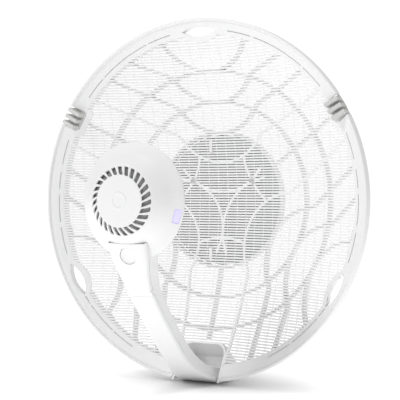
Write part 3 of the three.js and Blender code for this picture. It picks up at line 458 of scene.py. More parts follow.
def finishes():
    """Every finish of the object, made once."""
    colours = bpy.context.scene.bridge_colours
    white, grey, dark, glow = (
        tuple(c) for c in (colours.white, colours.grey, colours.dark, colours.glow))
    wanted = {
        "white_moulding": (white, 0.42, 0, 1500, 0.05, 0.012),
        "white_mesh": ((0.9, 0.9, 0.9), 0.5, 0, 1200, 0.05, 0.02),
        # A darker copy of the white plastic: painted shade for the ribs, which lie in the mesh's
        # shadow.
        "rib_white": ((0.74, 0.74, 0.745), 0.45, 0, 1300, 0.06, 0.02),
        "hub_grey": (grey, 0.55, 0, 900, 0.1, 0.04),
        "dark_moulding": (dark, 0.6, 0, 1100, 0.1, 0.08),
        "vent_grey": ((0.33, 0.33, 0.335), 0.6, 0, 900, 0.15, 0.08),
        "catch_grey": ((0.62, 0.62, 0.61), 0.5, 0, 1100, 0.08, 0.03),
        "soft_rubber": ((0.02, 0.02, 0.022), 0.82, 0, 1600, 0.2, 0.1),
        "cast_alloy": ((0.58, 0.59, 0.6), 0.46, 1, 1300, 0.22, 0.05),
        "stainless": ((0.6, 0.6, 0.61), 0.3, 1, 420, 0.08, 0.04),
        "tin_plate": ((0.68, 0.68, 0.66), 0.24, 1, 500, 0.06, 0.05),
        "lit_window": (glow, 0.25, 0, 900, 0.02, 0.05),
    }
    more = {
        "cast_alloy": {"rough_swing": 0.16, "wear": 0.5},
        "stainless": {"rough_swing": 0.18, "wear": 0.4, "stretch": (1, 1, 9)},
        "tin_plate": {"rough_swing": 0.14, "stretch": (6, 1, 1)},
        "lit_window": {"Emission_Color": (*glow, 1), "Emission_Strength": 0.3},
    }
    if "solder_mask" not in bpy.data.materials:
        for name, values in wanted.items():
            finish(name, *values, **more.get(name, {}))
        board_finish()
    return bpy.data.materials


FINISH_OF = {
    "white_plastic": "white_moulding", "grey_plastic": "hub_grey", "dark_plastic": "dark_moulding",
    "rubber": "soft_rubber", "cast_aluminium": "cast_alloy", "steel": "stainless",
    "tin_plate": "tin_plate", "circuit_board": "solder_mask", "violet_lens": "lit_window",
}

# ------------------------------------------------------------------ plan of the dish, in mm

SLOT_ANGLES = (90, 210, 330)
NOTCH_ANGLES = (30, 150)
SLOT_LENGTH, SLOT_WIDTH, SLOT_R, EAR_MARGIN = 43.0, 11.0, 192.7, 6.5
NOTCH_WIDTH, NOTCH_DEPTH, NOTCH_BAND = 26.0, 20.0, 5.0
SOCKET_HALF, SOCKET_TOP = 30.5, -165.5      # outer half width and inner top of the foot pocket
RIB_PITCH, RIB_CORNER, RIB_CURVES = 35.1, 61.0, 6
HUB_SCREW_R = 45.0
DISH_R = round(RIM_R / MM, 1)
DISH_DEPTH, RIM_WIDTH, RIM_BACK, SKIN = 70.0, 17.5, 11.0, 2.6
RIM_IN = DISH_R - RIM_WIDTH
SIN_60 = math.sqrt(3) / 2
SLIT_IN, SLIT_AT, SLIT_OUT = 193.6, 194, 194.7    # the rim's fine slits; depth taken at SLIT_AT


def surface_y(r):
    return DISH_DEPTH * (1 - (r / DISH_R) ** 2)


def turned_to(point, degrees):
    """A plan point drawn for the top of the dish, taken to another angle."""
    a = math.radians(degrees - 90)
    x, z = point
    return x * math.cos(a) - z * math.sin(a), x * math.sin(a) + z * math.cos(a)


def open_mesh(x, z, reach=RIM_IN + 1.4, lap=2.0):
    """True where the dish is open mesh, with a small lap under the solid parts round it."""
    if math.hypot(x, z) > reach:
        return False
    half, rise = SLOT_LENGTH / 2 + EAR_MARGIN - lap, SLOT_WIDTH / 2 + EAR_MARGIN - lap
    bow = (half * half + rise * rise) / (2 * rise)
    for a in SLOT_ANGLES:
        c, s = math.cos(math.radians(a)), math.sin(math.radians(a))
        along, across = x * c + z * s - SLOT_R, z * c - x * s
        if max(math.hypot(across, along + bow - rise), math.hypot(across, along - bow + rise)) < bow:
            return False
    for a in NOTCH_ANGLES:
        c, s = math.cos(math.radians(a)), math.sin(math.radians(a))
        along, across = x * c + z * s, abs(z * c - x * s)
        if (along > DISH_R - NOTCH_DEPTH - NOTCH_BAND + lap
                and across < NOTCH_WIDTH / 2 + NOTCH_BAND - lap):
            return False
    return not (abs(x) < SOCKET_HALF - lap + 0.5 and z < SOCKET_TOP + 2.5 - lap + 0.5)


def clipped(line, step, **limits):
    """The runs of a plan line that lie on open mesh, with points no further apart than step."""
    runs, run, since = [], [], 0.0
    last = None
    for i in range(len(line) - 1):
        (x0, z0), (x1, z1) = line[i], line[i + 1]
        length = math.hypot(x1 - x0, z1 - z0)
        parts = max(1, math.ceil(length / 0.8))
        for k in range(parts + (i == len(line) - 2)):
            t = k / parts
            p = (x0 + (x1 - x0) * t, z0 + (z1 - z0) * t)
            if open_mesh(*p, **limits):
                since += length / parts
                if not run or since >= step:
                    run.append(p)
                    since = 0.0
                last = p
            elif run:
                if last != run[-1]:
                    run.append(last)
                if len(run) > 1:
                    runs.append(run)
                run, since = [], 0.0
    if run and last != run[-1]:
        run.append(last)
    if len(run) > 1:
        runs.append(run)
    return runs


def line_mesh(runs, name, loops=()):
    """Plan lines as a mesh of edges, in metres, for the bars' node tree."""
    verts, edges = [], []
    for closed, group in ((False, runs), (True, loops)):
        for run in group:
            first = len(verts)
            verts += [(x * MM, 0.0, z * MM) for x, z in run]
            edges += [(first + i, first + i + 1) for i in range(len(run) - 1)]
            if closed:
                edges.append((len(verts) - 1, first))
    mesh = bpy.data.meshes.new(name)
    mesh.from_pydata(verts, edges, [])
    return mesh


def bars(name, runs, width, depth, set_back, rounding, material, loops=()):
    dish = bpy.context.scene.bridge_dish
    group = bpy.data.node_groups.get("Bars over the dish") or dish_bar_tree()
    return grown(name, line_mesh(runs, name, loops), group, {
        "Dish Radius": dish.radius, "Dish Depth": dish.depth, "Rim Plane": PLANE,
        "Set Back": set_back, "Bar Width": width, "Bar Depth": depth, "Edge Round": rounding,
        "Material": material})


# ------------------------------------------------------------------ the arm's front, in mm

ARM_FRONT = [(-147, -42), (-136, -69), (-119, -97), (-88, -133), (-63, -159),
             (-50, -172), (-22, -193), (0, -203), (20, -208.4), (42.4, -208.8)]
ARM_HALF = [(24.5, -30), (23.6, -45), (22, -60), (18.6, -74), (15.8, -88), (14.8, -104),
            (14.4, -140), (14.6, -172), (17, -186), (21.5, -196), (25.6, -203), (27.2, -213)]


def smooth_line(points, per_span=24):
    """Catmull-Rom curve through the points."""
    made = []
    last = len(points) - 1
    for i in range(last):
        p0, p1 = points[max(i - 1, 0)], points[i]
        p2, p3 = points[i + 1], points[min(i + 2, last)]
        for k in range(per_span + (i == last - 1)):
            t = k / per_span
            made.append(tuple(
                0.5 * (2 * b + (c - a) * t + (2 * a - 5 * b + 4 * c - d) * t * t
                       + (3 * b - a - 3 * c + d) * t ** 3)
                for a, b, c, d in zip(p0, p1, p2, p3)))
    return made


FRONT_LINE = smooth_line(ARM_FRONT)
HALF_LINE = smooth_line(ARM_HALF)
RUN = [0.0, *accumulate(math.dist(a, b) for a, b in zip(FRONT_LINE, FRONT_LINE[1:]))]
ARM_LENGTH = RUN[-1]


def along_at(z):
    """Distance along the arm's front at which it has come down to a height."""
    i = next(k for k, point in enumerate(FRONT_LINE[1:]) if point[1] <= z)
    z0, z1 = FRONT_LINE[i][1], FRONT_LINE[i + 1][1]
    return RUN[i] + (RUN[i + 1] - RUN[i]) * (z0 - z) / (z0 - z1)


def front_frame(s):
    """Point (y, z) on the arm's front and the direction into the arm there."""
    t = min(max(s, 0.0), ARM_LENGTH)
    i = max(k for k in range(len(RUN) - 1) if RUN[k] <= t)
    (y0, z0), (y1, z1) = FRONT_LINE[i], FRONT_LINE[i + 1]
    share = (t - RUN[i]) / (RUN[i + 1] - RUN[i])
    way = Vector((y1 - y0, z1 - z0)).normalized()
    point = Vector((y0 + (y1 - y0) * share, z0 + (z1 - z0) * share)) + way * (s - t)
    return point, Vector((-way.y, way.x))


def half_width(z):
    for (w0, z0), (w1, z1) in zip(HALF_LINE, HALF_LINE[1:]):
        if z1 <= z <= z0:
            return w0 + (w1 - w0) * (z0 - z) / (z0 - z1)
    return HALF_LINE[0][0] if z > 0 else HALF_LINE[-1][0]


NECK_END, COVER_TOP, BUTTON_Z = -100.0, -44.0, -57.0
SEAM = along_at(NECK_END)
PORT_TOP = along_at(COVER_TOP)
NECK_TOP = PORT_TOP - 0.3


def cover_shell(s0, s1, name, crown, stations):
    """Channel-shaped cover over the arm's front from s0 to s1, with round long edges."""
    arm = bpy.context.scene.bridge_arm
    depth, corner, wall = arm.cover_depth / MM, arm.corner / MM, arm.wall / MM

    def section(s, grow):
        point, inward = front_frame(s)
        half = half_width(point.y) - grow
        r = max(0.6, corner - grow)
        points = [(-half, depth), (-half, (depth + r + grow) / 2)]
        points += [(-half + r - r * math.cos(a), grow + r - r * math.sin(a))
                   for a in (math.radians(15 * k) for k in range(7))]
        rise = 0 if grow else crown
        middle = [((half - r) * t, grow - rise * (1 - t * t)) for t in (-0.66, -0.33, 0, 0.33, 0.66)]
        whole = points + middle + [(-x, d) for x, d in reversed(points)]
        return [at(x, *(point + inward * d)) for x, d in whole]

    bm = bmesh.new()
    # Each ring of vertices runs over the outer face and back along the inner one.
    rings = [[bm.verts.new(p) for p in section(s, 0.0) + section(s, wall)[::-1]]
             for s in (s0 + (s1 - s0) * i / stations for i in range(stations + 1))]
    web(bm, rings)
    for ring in (rings[0], rings[-1]):
        web(bm, [ring[:len(ring) // 2], ring[:len(ring) // 2 - 1:-1]], round_rows=False)
    return mesh_of(bm, name)


def neck_room(name):
    """The space that the neck takes in the front cap."""
    bm = bmesh.new()
    rows = []
    stop = along_at(-85)
    for i in range(9):
        s = NECK_TOP + (stop - NECK_TOP) * i / 8
        point, inward = front_frame(s)
        half = half_width(point.y) + 0.3
        deep, high = 24.0, -6.0
        rows.append([bm.verts.new(at(x, *(point + inward * d)))
                     for x, d in ((-half, high), (half, high), (half, deep), (-half, deep))])
    web(bm, rows)
    bm.faces.new(rows[0])
    bm.faces.new(rows[-1][::-1])
    return mesh_of(bm, name)


def button_frame():
    """Where the release button sits, as a matrix whose Y axis goes into the arm."""
    point, inward = front_frame(along_at(BUTTON_Z))
    into = Vector((0, inward.x, inward.y))
    up = Vector((0, -inward.y, inward.x))
    return Matrix.Translation(at(0, *point)) @ Matrix((
        (1, into.x, up.x, 0), (0, into.y, up.y, 0), (0, into.z, up.z, 0), (0, 0, 0, 1)))


def spun(profile, sides, place, name, socket=None):
    """Solid of revolution from (radius, depth) points in millimetres, placed by a matrix.

    Points at the socket's radius lie on a hexagon instead of a circle.
    """
    bm = bmesh.new()

    def reach(r, a):
        if socket is None or abs(r - socket) > 1e-6:
            return r
        off = (a + math.pi / 6) % (math.pi / 3) - math.pi / 6
        return r * math.cos(math.pi / 6) / math.cos(off)

    rings = [[bm.verts.new(place @ Vector((reach(r, a) * MM * math.cos(a), d * MM,
                                           reach(r, a) * MM * math.sin(a))))
              for r, d in profile] for a in (2 * math.pi * i / sides for i in range(sides))]
    web(bm, rings, last_to_first=True)
    bmesh.ops.remove_doubles(bm, verts=bm.verts, dist=1e-7)
    bmesh.ops.dissolve_degenerate(bm, edges=bm.edges, dist=1e-7)
    return mesh_of(bm, name)


# ------------------------------------------------------------------ operators


class BRIDGE_OT_rim(bpy.types.Operator):
    """Rim of the dish, with its bead, its eye slots, its notches and its fine slits"""

    bl_idname = "bridge.rim"
    bl_label = "Rim"

    SLITS = ((70, 79), (49, 69), (39.5, 48), (13, 22), (4, 10), (-8, 2), (-20, -10),
             (-40, -34), (-53, -41), (-63, -54))

    def execute(self, context):
        coat = finishes()
        inner, outer, edge = RIM_IN + SKIN, DISH_R - SKIN, DISH_R - 3.0
        steps = [RIM_IN + 0.6 + (edge - 2.4 - RIM_IN) * k / 5 for k in range(6)]
        front = [(RIM_IN, surface_y(RIM_IN) + 0.7)] + [(r, surface_y(r)) for r in steps]
        bead = [(edge - 1.5, surface_y(edge) + 1.1), (edge - 0.3, surface_y(edge) + 1.1),
                (edge + 0.1, 1.2), (edge + 0.5, 0.35),
                (edge + 1.0, 0.06), (DISH_R - 1.0, 0.0), (DISH_R - 0.35, 0.3), (DISH_R, 1.0)]
        ease = 0.4
        deep, shoulder = RIM_BACK, RIM_BACK - ease
        y_in, y_foot = surface_y(inner), surface_y(RIM_IN)
        back = [(DISH_R, shoulder), (DISH_R - ease, deep), (outer + ease, deep), (outer, shoulder),
                (outer, surface_y(outer) + SKIN), (inner, y_in + SKIN), (inner, y_in + shoulder),
                (inner - ease, y_in + deep), (RIM_IN + ease, y_foot + deep),
                (RIM_IN, y_foot + shoulder)]
        channel = lathe(front + bead + back, 336, "rim")
        cutters = [prism(outline, -10, 40, "opening", math.radians(a - 90))
                   for outline, angles in ((self.eye(0.0), SLOT_ANGLES),
                                           (self.notch(0.0), NOTCH_ANGLES)) for a in angles]
        half = SOCKET_HALF + 0.3
        cutters.append(prism([(-half, -230), (half, -230), (half, SOCKET_TOP + 2.8),
                              (-half, SOCKET_TOP + 2.8)], -20, 90, "pocket"))
        floor = surface_y(SLIT_AT)
        slits = [self.slit(*run, SLIT_IN, SLIT_OUT, -1.0, floor + 1.5, "slit")
                 for run in self.both_sides()]
        mesh = carve(channel, [joined(cutters, "openings"), joined(slits, "slits")], "rim")
        keep("rim", mesh, "dish", "white_plastic", "rim_frame", smooth=28,
             coat=coat["white_moulding"])
        for name, make, angles in (("rim_ears", self.ear, SLOT_ANGLES),
                                   ("rim_notch_bands", self.notch_band, NOTCH_ANGLES)):
            keep(name, joined([make(a) for a in angles], name), "dish", "white_plastic",
                 smooth=28, coat=coat["white_moulding"])
        seals = [self.slit(*run, SLIT_IN + 0.05, SLIT_OUT - 0.05, floor + 0.9, floor + 1.45,
                           "seal") for run in self.both_sides()]
        keep("rim_slit_seals", joined(seals, "rim_slit_seals"), "dish", "dark_plastic",
             coat=coat["catch_grey"])
        return {"FINISHED"}

    def both_sides(self):
        """Every slit as a run of angles, on the right and mirrored on the left."""
        return [run for low, high in self.SLITS for run in ((low, high), (180 - high, 180 - low))]

    @staticmethod
    def slit(low, high, r0, r1, y0, y1, name):
        steps = max(2, math.ceil((high - low) / 2))
        arc = [math.radians(low + (high - low) * k / steps) for k in range(steps + 1)]
        outline = [(r0 * math.cos(a), r0 * math.sin(a)) for a in arc]
        outline += [(r1 * math.cos(a), r1 * math.sin(a)) for a in reversed(arc)]
        return prism(outline, y0, y1, name)

    @staticmethod
    def eye(margin, steps=14):
        half, rise = SLOT_LENGTH / 2 + margin, SLOT_WIDTH / 2 + margin
        r = (half * half + rise * rise) / (2 * rise)
        sweep = math.asin(half / r)
        points = []
        for side in (1, -1):
            for i in range(steps):
                a = sweep - 2 * sweep * i / steps
                z = SLOT_R + side * (rise - r + r * math.cos(a))
                points.append((side * r * math.sin(a), z))
        return points

    @staticmethod
    def notch(margin):
        half, foot = NOTCH_WIDTH / 2 + margin, DISH_R - NOTCH_DEPTH - margin
        return [(-half, DISH_R + 5), (-half, foot + 4), (-half + 0.9, foot + 1.6),
                (-half + 3, foot), (half - 3, foot), (half - 0.9, foot + 1.6),
                (half, foot + 4), (half, DISH_R + 5)]

    @staticmethod
    def plate(outline, hole, degrees, name):
        """Curved plate on the dish's surface inside a plan outline, with a hole through it."""
        turn = math.radians(degrees - 90)
        rings = [(r, surface_y(r)) for r in (168, 172, 176, 180, 184, 188, 190.5)]
        shell = lathe(rings + [(r, y + SKIN) for r, y in reversed(rings)], 240, name)
        blank = carve(shell, [prism(outline, -10, 60, name, turn)], name, "INTERSECT")
        return carve(blank, [prism(hole, -10, 60, name, turn)], name)

    def ear(self, degrees):
        plate = self.plate(self.eye(EAR_MARGIN), self.eye(0.0), degrees, "ear")
        lip = self.tube(self.eye(SKIN * 0.9), self.eye(0.02), degrees, 0.3, 8.0, "lip")
        return joined([plate, lip], "ear")

    def notch_band(self, degrees):
        return self.plate(self.notch(NOTCH_BAND), self.notch(0.0), degrees, "band")

    @staticmethod
    def tube(outer, inner, degrees, d0, d1, name):
        """Wall round an opening, from the dish's surface back."""
        bm = bmesh.new()
        rows = []
        for o, i in zip(outer, inner):
            (xo, zo), (xi, zi) = turned_to(o, degrees), turned_to(i, degrees)
            yo, yi = surface_y(math.hypot(xo, zo)), surface_y(math.hypot(xi, zi))
            corners = ((xi, yi + d0, zi), (xo, yo + d0, zo), (xo, yo + d1, zo), (xi, yi + d1, zi))
            rows.append([bm.verts.new(at(*corner)) for corner in corners])
        web(bm, rows, last_to_first=True)
        return mesh_of(bm, name)


class BRIDGE_OT_pocket(bpy.types.Operator):
    """Pocket in the rim for the arm's foot, with round upper corners and a sloping roof"""

    bl_idname = "bridge.pocket"
    bl_label = "Foot pocket"

    HALF, TOP, BACK, WALL, BOTTOM = 28.0, -165.5, 43.5, 2.5, -205.6

    def execute(self, context):
        coat = finishes()
        bm = bmesh.new()
        steps = 14
        inner, outer = ([self.ring(bm, t / steps, grow) for t in range(steps + 1)]
                        for grow in (0.0, self.WALL))
        for rows in (inner, outer, [inner[0], outer[0]]):
            web(bm, rows, round_rows=False)
        for k in (0, -1):
            web(bm, [[row[k] for row in inner], [row[k] for row in outer]], round_rows=False)
        bm.faces.new(inner[-1])
        bm.faces.new(outer[-1][::-1])
        bm.faces.new([inner[-1][0], outer[-1][0], outer[-1][-1], inner[-1][-1]])
        shell = mesh_of(bm, "foot_pocket")
        exits = [self.round_hole(x, radius) for x, radius in ((-20, 2.2), (20, 2.2), (0, 5.3))]
        mesh = carve(shell, exits, "foot_pocket")
        keep("foot_pocket", mesh, "dish", "white_plastic", "arm_socket", smooth=35,
             coat=coat["white_moulding"])
        return {"FINISHED"}

    def ring(self, bm, t, grow):
        """Inner or outer outline of the pocket at a share of its depth."""
        top = self.TOP - 17 * (1 - math.cos(t * math.pi / 2)) + grow
        r = 13 - 4 * t + grow
        half = self.HALF + grow
        points = [(-half, self.BOTTOM)]
        points += [(-half + r - r * math.cos(a), top - r + r * math.sin(a))
                   for a in (math.radians(10 * k) for k in range(10))]
        points += [(-x, z) for x, z in reversed(points)]
        ends = self.BACK + grow
        made = []
        for x, z in points:
            front = surface_y(min(math.hypot(x, z), DISH_R)) + (0.1 if grow else 0.3)
            made.append(bm.verts.new(at(x, front + (ends - front) * t, z)))
        return made

    @staticmethod
    def round_hole(x, radius):
        ring = [(x + radius * math.cos(a), -200.5 + radius * math.sin(a))
                for a in (2 * math.pi * k / 32 for k in range(32))]
        return prism(ring, 30, 60, "hole")


class BRIDGE_OT_mesh(bpy.types.Operator):
    """Reflector mesh: fine slats over the bowl, with finer uprights behind them"""

    bl_idname = "bridge.mesh"
    bl_label = "Reflector mesh"

    SLAT_SET, TIE_SET, TIE_DEPTH = 0.00025, 0.0009, 0.0006
    REACH, STEP = RIM_IN + 1.4, 9.0

    def execute(self, context):
        dish = context.scene.bridge_dish
        white = finishes()["white_mesh"]
        lines = self.across(dish.slat_pitch / MM, 0.0)
        slats = bars("mesh_slats", lines, dish.slat_height, dish.slat_depth, self.SLAT_SET,
                     0.0002, white)
        keep("mesh_slats", slats, "dish", "white_plastic", "reflector_mesh", smooth=60)
        lines = self.across(dish.tie_pitch / MM, 0.5, upright=True)
        uprights = bars("mesh_uprights", lines, dish.tie_width, self.TIE_DEPTH, self.TIE_SET,
                        0.0001, white)
        keep("mesh_uprights", uprights, "dish", "white_plastic", smooth=60)
        return {"FINISHED"}

    def across(self, pitch, shift, upright=False):
        """Straight lines at a pitch over the open mesh, level or upright."""
        runs = []
        count = int(self.REACH / pitch)
        for k in range(-count, count + 1):
            place = (k + shift) * pitch
            if abs(place) >= self.REACH:
                continue
            half = math.sqrt(self.REACH ** 2 - place * place)
            ends = [(place, -half), (place, half)] if upright else [(-half, place), (half, place)]
            runs += clipped(ends, self.STEP)
        return runs


class BRIDGE_OT_ribs(bpy.types.Operator):
    """Ribs behind the mesh: rings and three families of bent ribs"""

    bl_idname = "bridge.ribs"
    bl_label = "Ribs"

    def execute(self, context):
        dish = context.scene.bridge_dish
        coat = finishes()
        deep, shallow, loops = self.lines()
        width, back = dish.rib_width, 0.0013
        # The deep ribs take the darker copy of the white plastic: painted shade for ribs in the
        # mesh's shadow.
        full = bars("dish_ribs", deep, width, dish.rib_depth, back, 0.0006,
                    coat["rib_white"], loops)
        low = bars("hub_ribs", shallow, width * 0.9, dish.rib_depth / 2, 0.0003, 0.0005,
                   coat["white_moulding"])
        keep("hub_ribs", low, "dish", "white_plastic", smooth=40)
        rings = []
        for a in NOTCH_ANGLES:
            x, z = (HUB_SCREW_R * f(math.radians(a)) for f in (math.cos, math.sin))
            y = surface_y(HUB_SCREW_R) + 1.3
            place = Matrix.Translation(at(x, y, z))
            rings.append(spun([(2.4, 0), (4.2, 0), (4.6, 0.4), (4.6, 4.0), (2.4, 4.0)], 32, place,
                              "boss"))
        mesh = joined([full, *rings], "dish_ribs")
        keep("dish_ribs", mesh, "dish", "white_plastic", "rib_lattice", smooth=40,
             coat=coat["rib_white"])
        return {"FINISHED"}

    @staticmethod
    def bend(k, low, high):
        steps = max(2, int(abs(high - low) / 4))
        centre = k * RIB_PITCH + RIB_CORNER / SIN_60
        turns = [math.radians(low + (high - low) * i / steps) for i in range(steps + 1)]
        return [(RIB_CORNER * math.sin(a), centre - RIB_CORNER * math.cos(a)) for a in turns]

    @staticmethod
    def leg(k, side, s):
        return side * s * SIN_60, k * RIB_PITCH + s / 2

    def lines(self):
        limits = {"reach": RIM_IN + 0.8, "lap": 0.5}
        first = RIB_CORNER / math.sqrt(3)
        ring_r = [k * RIB_PITCH + RIB_CORNER / SIN_60 - RIB_CORNER for k in (2, 3, 4)]
        loops = [[(r * math.cos(2 * math.pi * i / 120), r * math.sin(2 * math.pi * i / 120))
                  for i in range(120)] for r in ring_r]
        deep, shallow = [], []
        for angle in SLOT_ANGLES:
            def add(points, group):
                group.extend(clipped([turned_to(p, angle) for p in points], 5.0, **limits))
            add([*self.bend(0, -56, 60), self.leg(0, 1, HUB_SCREW_R - 1)], shallow)
            add([self.leg(0, 1, ring_r[0]), self.leg(0, 1, 200)], deep)
            link = [(t * RIB_PITCH * SIN_60, -HUB_SCREW_R - 6 * t * t)
                    for t in (i / 8 - 1 for i in range(17))]
            add(link, shallow)
            for k in range(1, RIB_CURVES):
                reach = RIM_IN - 1
                h = k * RIB_PITCH
                end = -h / 2 + math.sqrt(reach * reach - 0.75 * h * h)
                if end < first:
                    continue
                points = [self.leg(k, -1, end + 2), *self.bend(k, -60, 60), self.leg(k, 1, end + 2)]
                add(points, shallow if k == 1 else deep)
        return deep, shallow, loops


class BRIDGE_OT_head(bpy.types.Operator):
    """Front cap of the radio head, with its swirled vents, and the dark screen behind them"""

    bl_idname = "bridge.head"
    bl_label = "Radio head"

    PROFILE = ((2, -159.0), (6, -158.98), (12, -158.9), (18, -158.75), (23.5, -158.5),
               (26.2, -158.35), (27.2, -158.2), (29.6, -157.4), (32.2, -156.2), (34.8, -154.5),
               (35.8, -153.8), (37.2, -152.8), (40.5, -149.9), (44, -146.5), (47.2, -143.2),
               (49.4, -140.7), (50.2, -139.9), (53, -137.4), (56.5, -134.6), (59.2, -132.6),
               (60.8, -131.3), (61.35, -130.6), (61.5, -130.15))

    def execute(self, context):
        head = context.scene.bridge_head
        coat = finishes()
        bm = bmesh.new()
        count = head.vent_count
        sector = 2 * math.pi / count
        rows = []
        for r, y in self.PROFILE:
            t = min(max((36 - r) / 9.5, 0.0), 1.0)
            half = head.vent_width / MM / 2 / min(max(r, 26.5), 36.0)
            marks = [-half, -half * 0.45, half * 0.45, half]
            room = sector - 2 * half
            marks += [half + room * k / 4 for k in (1, 2, 3)]
            row = []
            for i in range(count):
                for m in marks:
                    a = i * sector + m - head.vent_swirl * t
                    row.append(bm.verts.new(at(r * math.cos(a), y, r * math.sin(a))))
            rows.append(row)
        width = len(rows[0])
        for j, (a, b) in enumerate(zip(rows, rows[1:])):
            vent_row = 27.0 < (self.PROFILE[j][0] + self.PROFILE[j + 1][0]) / 2 < 35.4
            for i in range(width):
                if vent_row and i % 7 in (0, 1, 2):
                    continue
                m = (i + 1) % width
                bm.faces.new([a[i], b[i], b[m], a[m]])
        bm.faces.new(rows[0])
        bmesh.ops.recalc_face_normals(bm, faces=bm.faces)
        if max(bm.faces, key=lambda f: f.calc_area()).normal.y > 0:
            bmesh.ops.reverse_faces(bm, faces=bm.faces)
        mesh = bpy.data.meshes.new("head_cap")
        bm.to_mesh(mesh)
        bm.free()
        shell = loose_object("head_cap", mesh)
        wall = shell.modifiers.new("wall", "SOLIDIFY")
        wall.thickness, wall.offset = head.cap_wall, -1
        wall.use_even_offset = True
        soft = shell.modifiers.new("soft", "SUBSURF")
        soft.levels = soft.render_levels = 1
        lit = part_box("led_window")
        window = prism([(53.6, -7.3), (63, -7.3), (63, 7.3), (53.6, 7.3)],
                       (lit[0].y - PLANE) / MM - 6, -131.6, "window", math.radians(-16))
        cap = carve(evaluated(shell), [neck_room("neck_room"), window], "head_cap")
        keep("head_cap", cap, "dish", "white_plastic", "head_front_cap", smooth=35,
             coat=coat["white_moulding"])
        rings = [(4, -154.6), (22, -154.2), (30, -152.6), (37, -148.6), (40.5, -145.6),
                 (40.5, -144.6), (37, -147.6), (30, -151.6), (22, -153.2), (4, -153.6)]
        screen = lathe(rings, 72, "vent_screen")
        keep("vent_screen", screen, "dish", "dark_plastic", coat=coat["vent_grey"])
        ring = [(6.4, -158.7), (6.7, -159.35), (7.3, -159.5), (8.6, -159.5), (9.2, -159.35),
                (9.5, -158.7)]
        keep("cap_ring", lathe(ring, 72, "cap_ring"), "dish", "white_plastic",
             coat=coat["white_moulding"])
        return {"FINISHED"}


class BRIDGE_OT_arm(bpy.types.Operator):
    """Covers on the front of the arm, and the release button in its round hole"""

    bl_idname = "bridge.arm"
    bl_label = "Arm covers"

    def execute(self, context):
        coat = finishes()
        cover = cover_shell(SEAM, ARM_LENGTH, "arm_cover", 0.6, 60)
        keep("arm_cover", cover, "dish", "white_plastic", "arm_front_cover", smooth=35,
             coat=coat["white_moulding"])
        radius = context.scene.bridge_arm.button_radius / MM
        place = button_frame()
        blank = cover_shell(PORT_TOP, SEAM - 0.2, "port_door", 0.5, 30)
        hole = spun([(0, -8), (radius + 0.3, -8), (radius + 0.3, 14), (0, 14)], 96, place, "hole")
        door = carve(blank, [hole], "port_door")
        keep("port_door", door, "port_door", "white_plastic", "port_cover", smooth=35,
             coat=coat["white_moulding"])
        dish_face = [(0, 1.55), (radius * 0.45, 1.35), (radius * 0.8, 0.85), (radius - 0.7, 0.4),
                     (radius - 0.2, 0.6), (radius, 1.0), (radius, 3.4), (radius + 1.2, 3.6),
                     (radius + 1.4, 4.2), (0, 4.2)]
        button = spun(dish_face, 96, place, "button")
        keep("button", button, "release_key", "white_plastic", "release_button", smooth=30,
             coat=coat["white_moulding"])
        return {"FINISHED"}


class BRIDGE_OT_screws(bpy.types.Operator):
    """Pan-head screws with hexagon sockets, in four sets"""

    bl_idname = "bridge.screws"
    bl_label = "Screws"

    SETS = (
        ("hub_screws", "grey", 1, 2.7, 1.5, 1.7, ("hub_screw_1", "hub_screw_2")),
        ("yoke_screws", "steel", -1, 3.3, 2.3, 1.7,
         ("yoke_screw_1", "yoke_screw_2", "yoke_screw_3", "yoke_screw_4")),
        ("head_screws", "steel", -1, 3.3, 2.3, 1.7,
         ("head_screw_1", "head_screw_2", "head_screw_3")),
        ("arm_screws", "steel", -1, 3.5, 2.3, 1.7, ("arm_screw_right", "arm_screw_left")),
    )

    def execute(self, context):
        coat = finishes()
        tree = screw_tree()
        for name, kind, way, head_r, head_h, shank_r, nodes in self.SETS:
            boxes = [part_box(node) for node in nodes]
            length = (boxes[0][1].y - boxes[0][0].y) / MM
            tops = [(low.y if way > 0 else high.y) for low, high in boxes]
            points = [((low.x + high.x) / 2, top, (low.z + high.z) / 2)
                      for (low, high), top in zip(boxes, tops)]
            base = bpy.data.meshes.new(name)
            base.from_pydata(points, [], [])
            screw = loose_object("one_screw", self.screw(head_r, head_h, shank_r, length))
            mesh = grown(name, base, tree, {
                "Turn": 0.0 if way > 0 else math.pi, "Screw": screw,
                "Material": coat["catch_grey" if kind == "grey" else "stainless"]})
            bpy.data.objects.remove(screw)
            slot = "dark_plastic" if kind == "grey" else "steel"
            keep(name, mesh, "dish", slot, *nodes, smooth=30)
        return {"FINISHED"}

    @staticmethod
    def screw(head_r, head_h, shank_r, length):
        """One screw along +Y from its head, with a six-sided socket in the head."""
        socket = head_r * 0.5
        profile = [(0, head_h * 0.55), (socket, head_h * 0.55), (socket, 0.05),
                   (socket + 0.2, 0.0), (head_r * 0.7, 0.02), (head_r * 0.92, head_h * 0.3),
                   (head_r, head_h * 0.7), (head_r, head_h)]
        thread = []
        depth = head_h
        while depth < length - 1.0:
            thread += [(shank_r - 0.22, depth), (shank_r, depth + 0.3)]
            depth += 0.6
        tip = [(shank_r * 0.7, length - 0.1), (0, length)]
        return spun([*profile, (shank_r - 0.22, head_h), *thread[2:], *tip], 24,
                    Matrix.Identity(4), "screw", socket)


class BRIDGE_OT_hub(bpy.types.Operator):
    """Raised marks on the grey hub plate behind the mesh"""

    bl_idname = "bridge.hub"
    bl_label = "Hub details"

    def execute(self, context):
        coat = finishes()
        marks = []
        for z0, z1 in ((57, 71), (-73, -57)):
            y = surface_y(math.hypot(13, (z0 + z1) / 2))
            marks.append(self.rod(-14.8, -11.2, y - 0.5, y + 8.6, z0, z1))
        keep("hub_marks", joined(marks, "hub_marks"), "dish", "white_plastic",
             coat=coat["white_moulding"])
        return {"FINISHED"}

    @staticmethod
    def rod(x0, x1, y0, y1, z0, z1):
        corners = [(x0 + 0.5, z0), (x1 - 0.5, z0), (x1, z0 + 0.5), (x1, z1 - 0.5),
                   (x1 - 0.5, z1), (x0 + 0.5, z1), (x0, z1 - 0.5), (x0, z0 + 0.5)]
        return prism(corners, y0, y1, "mark")


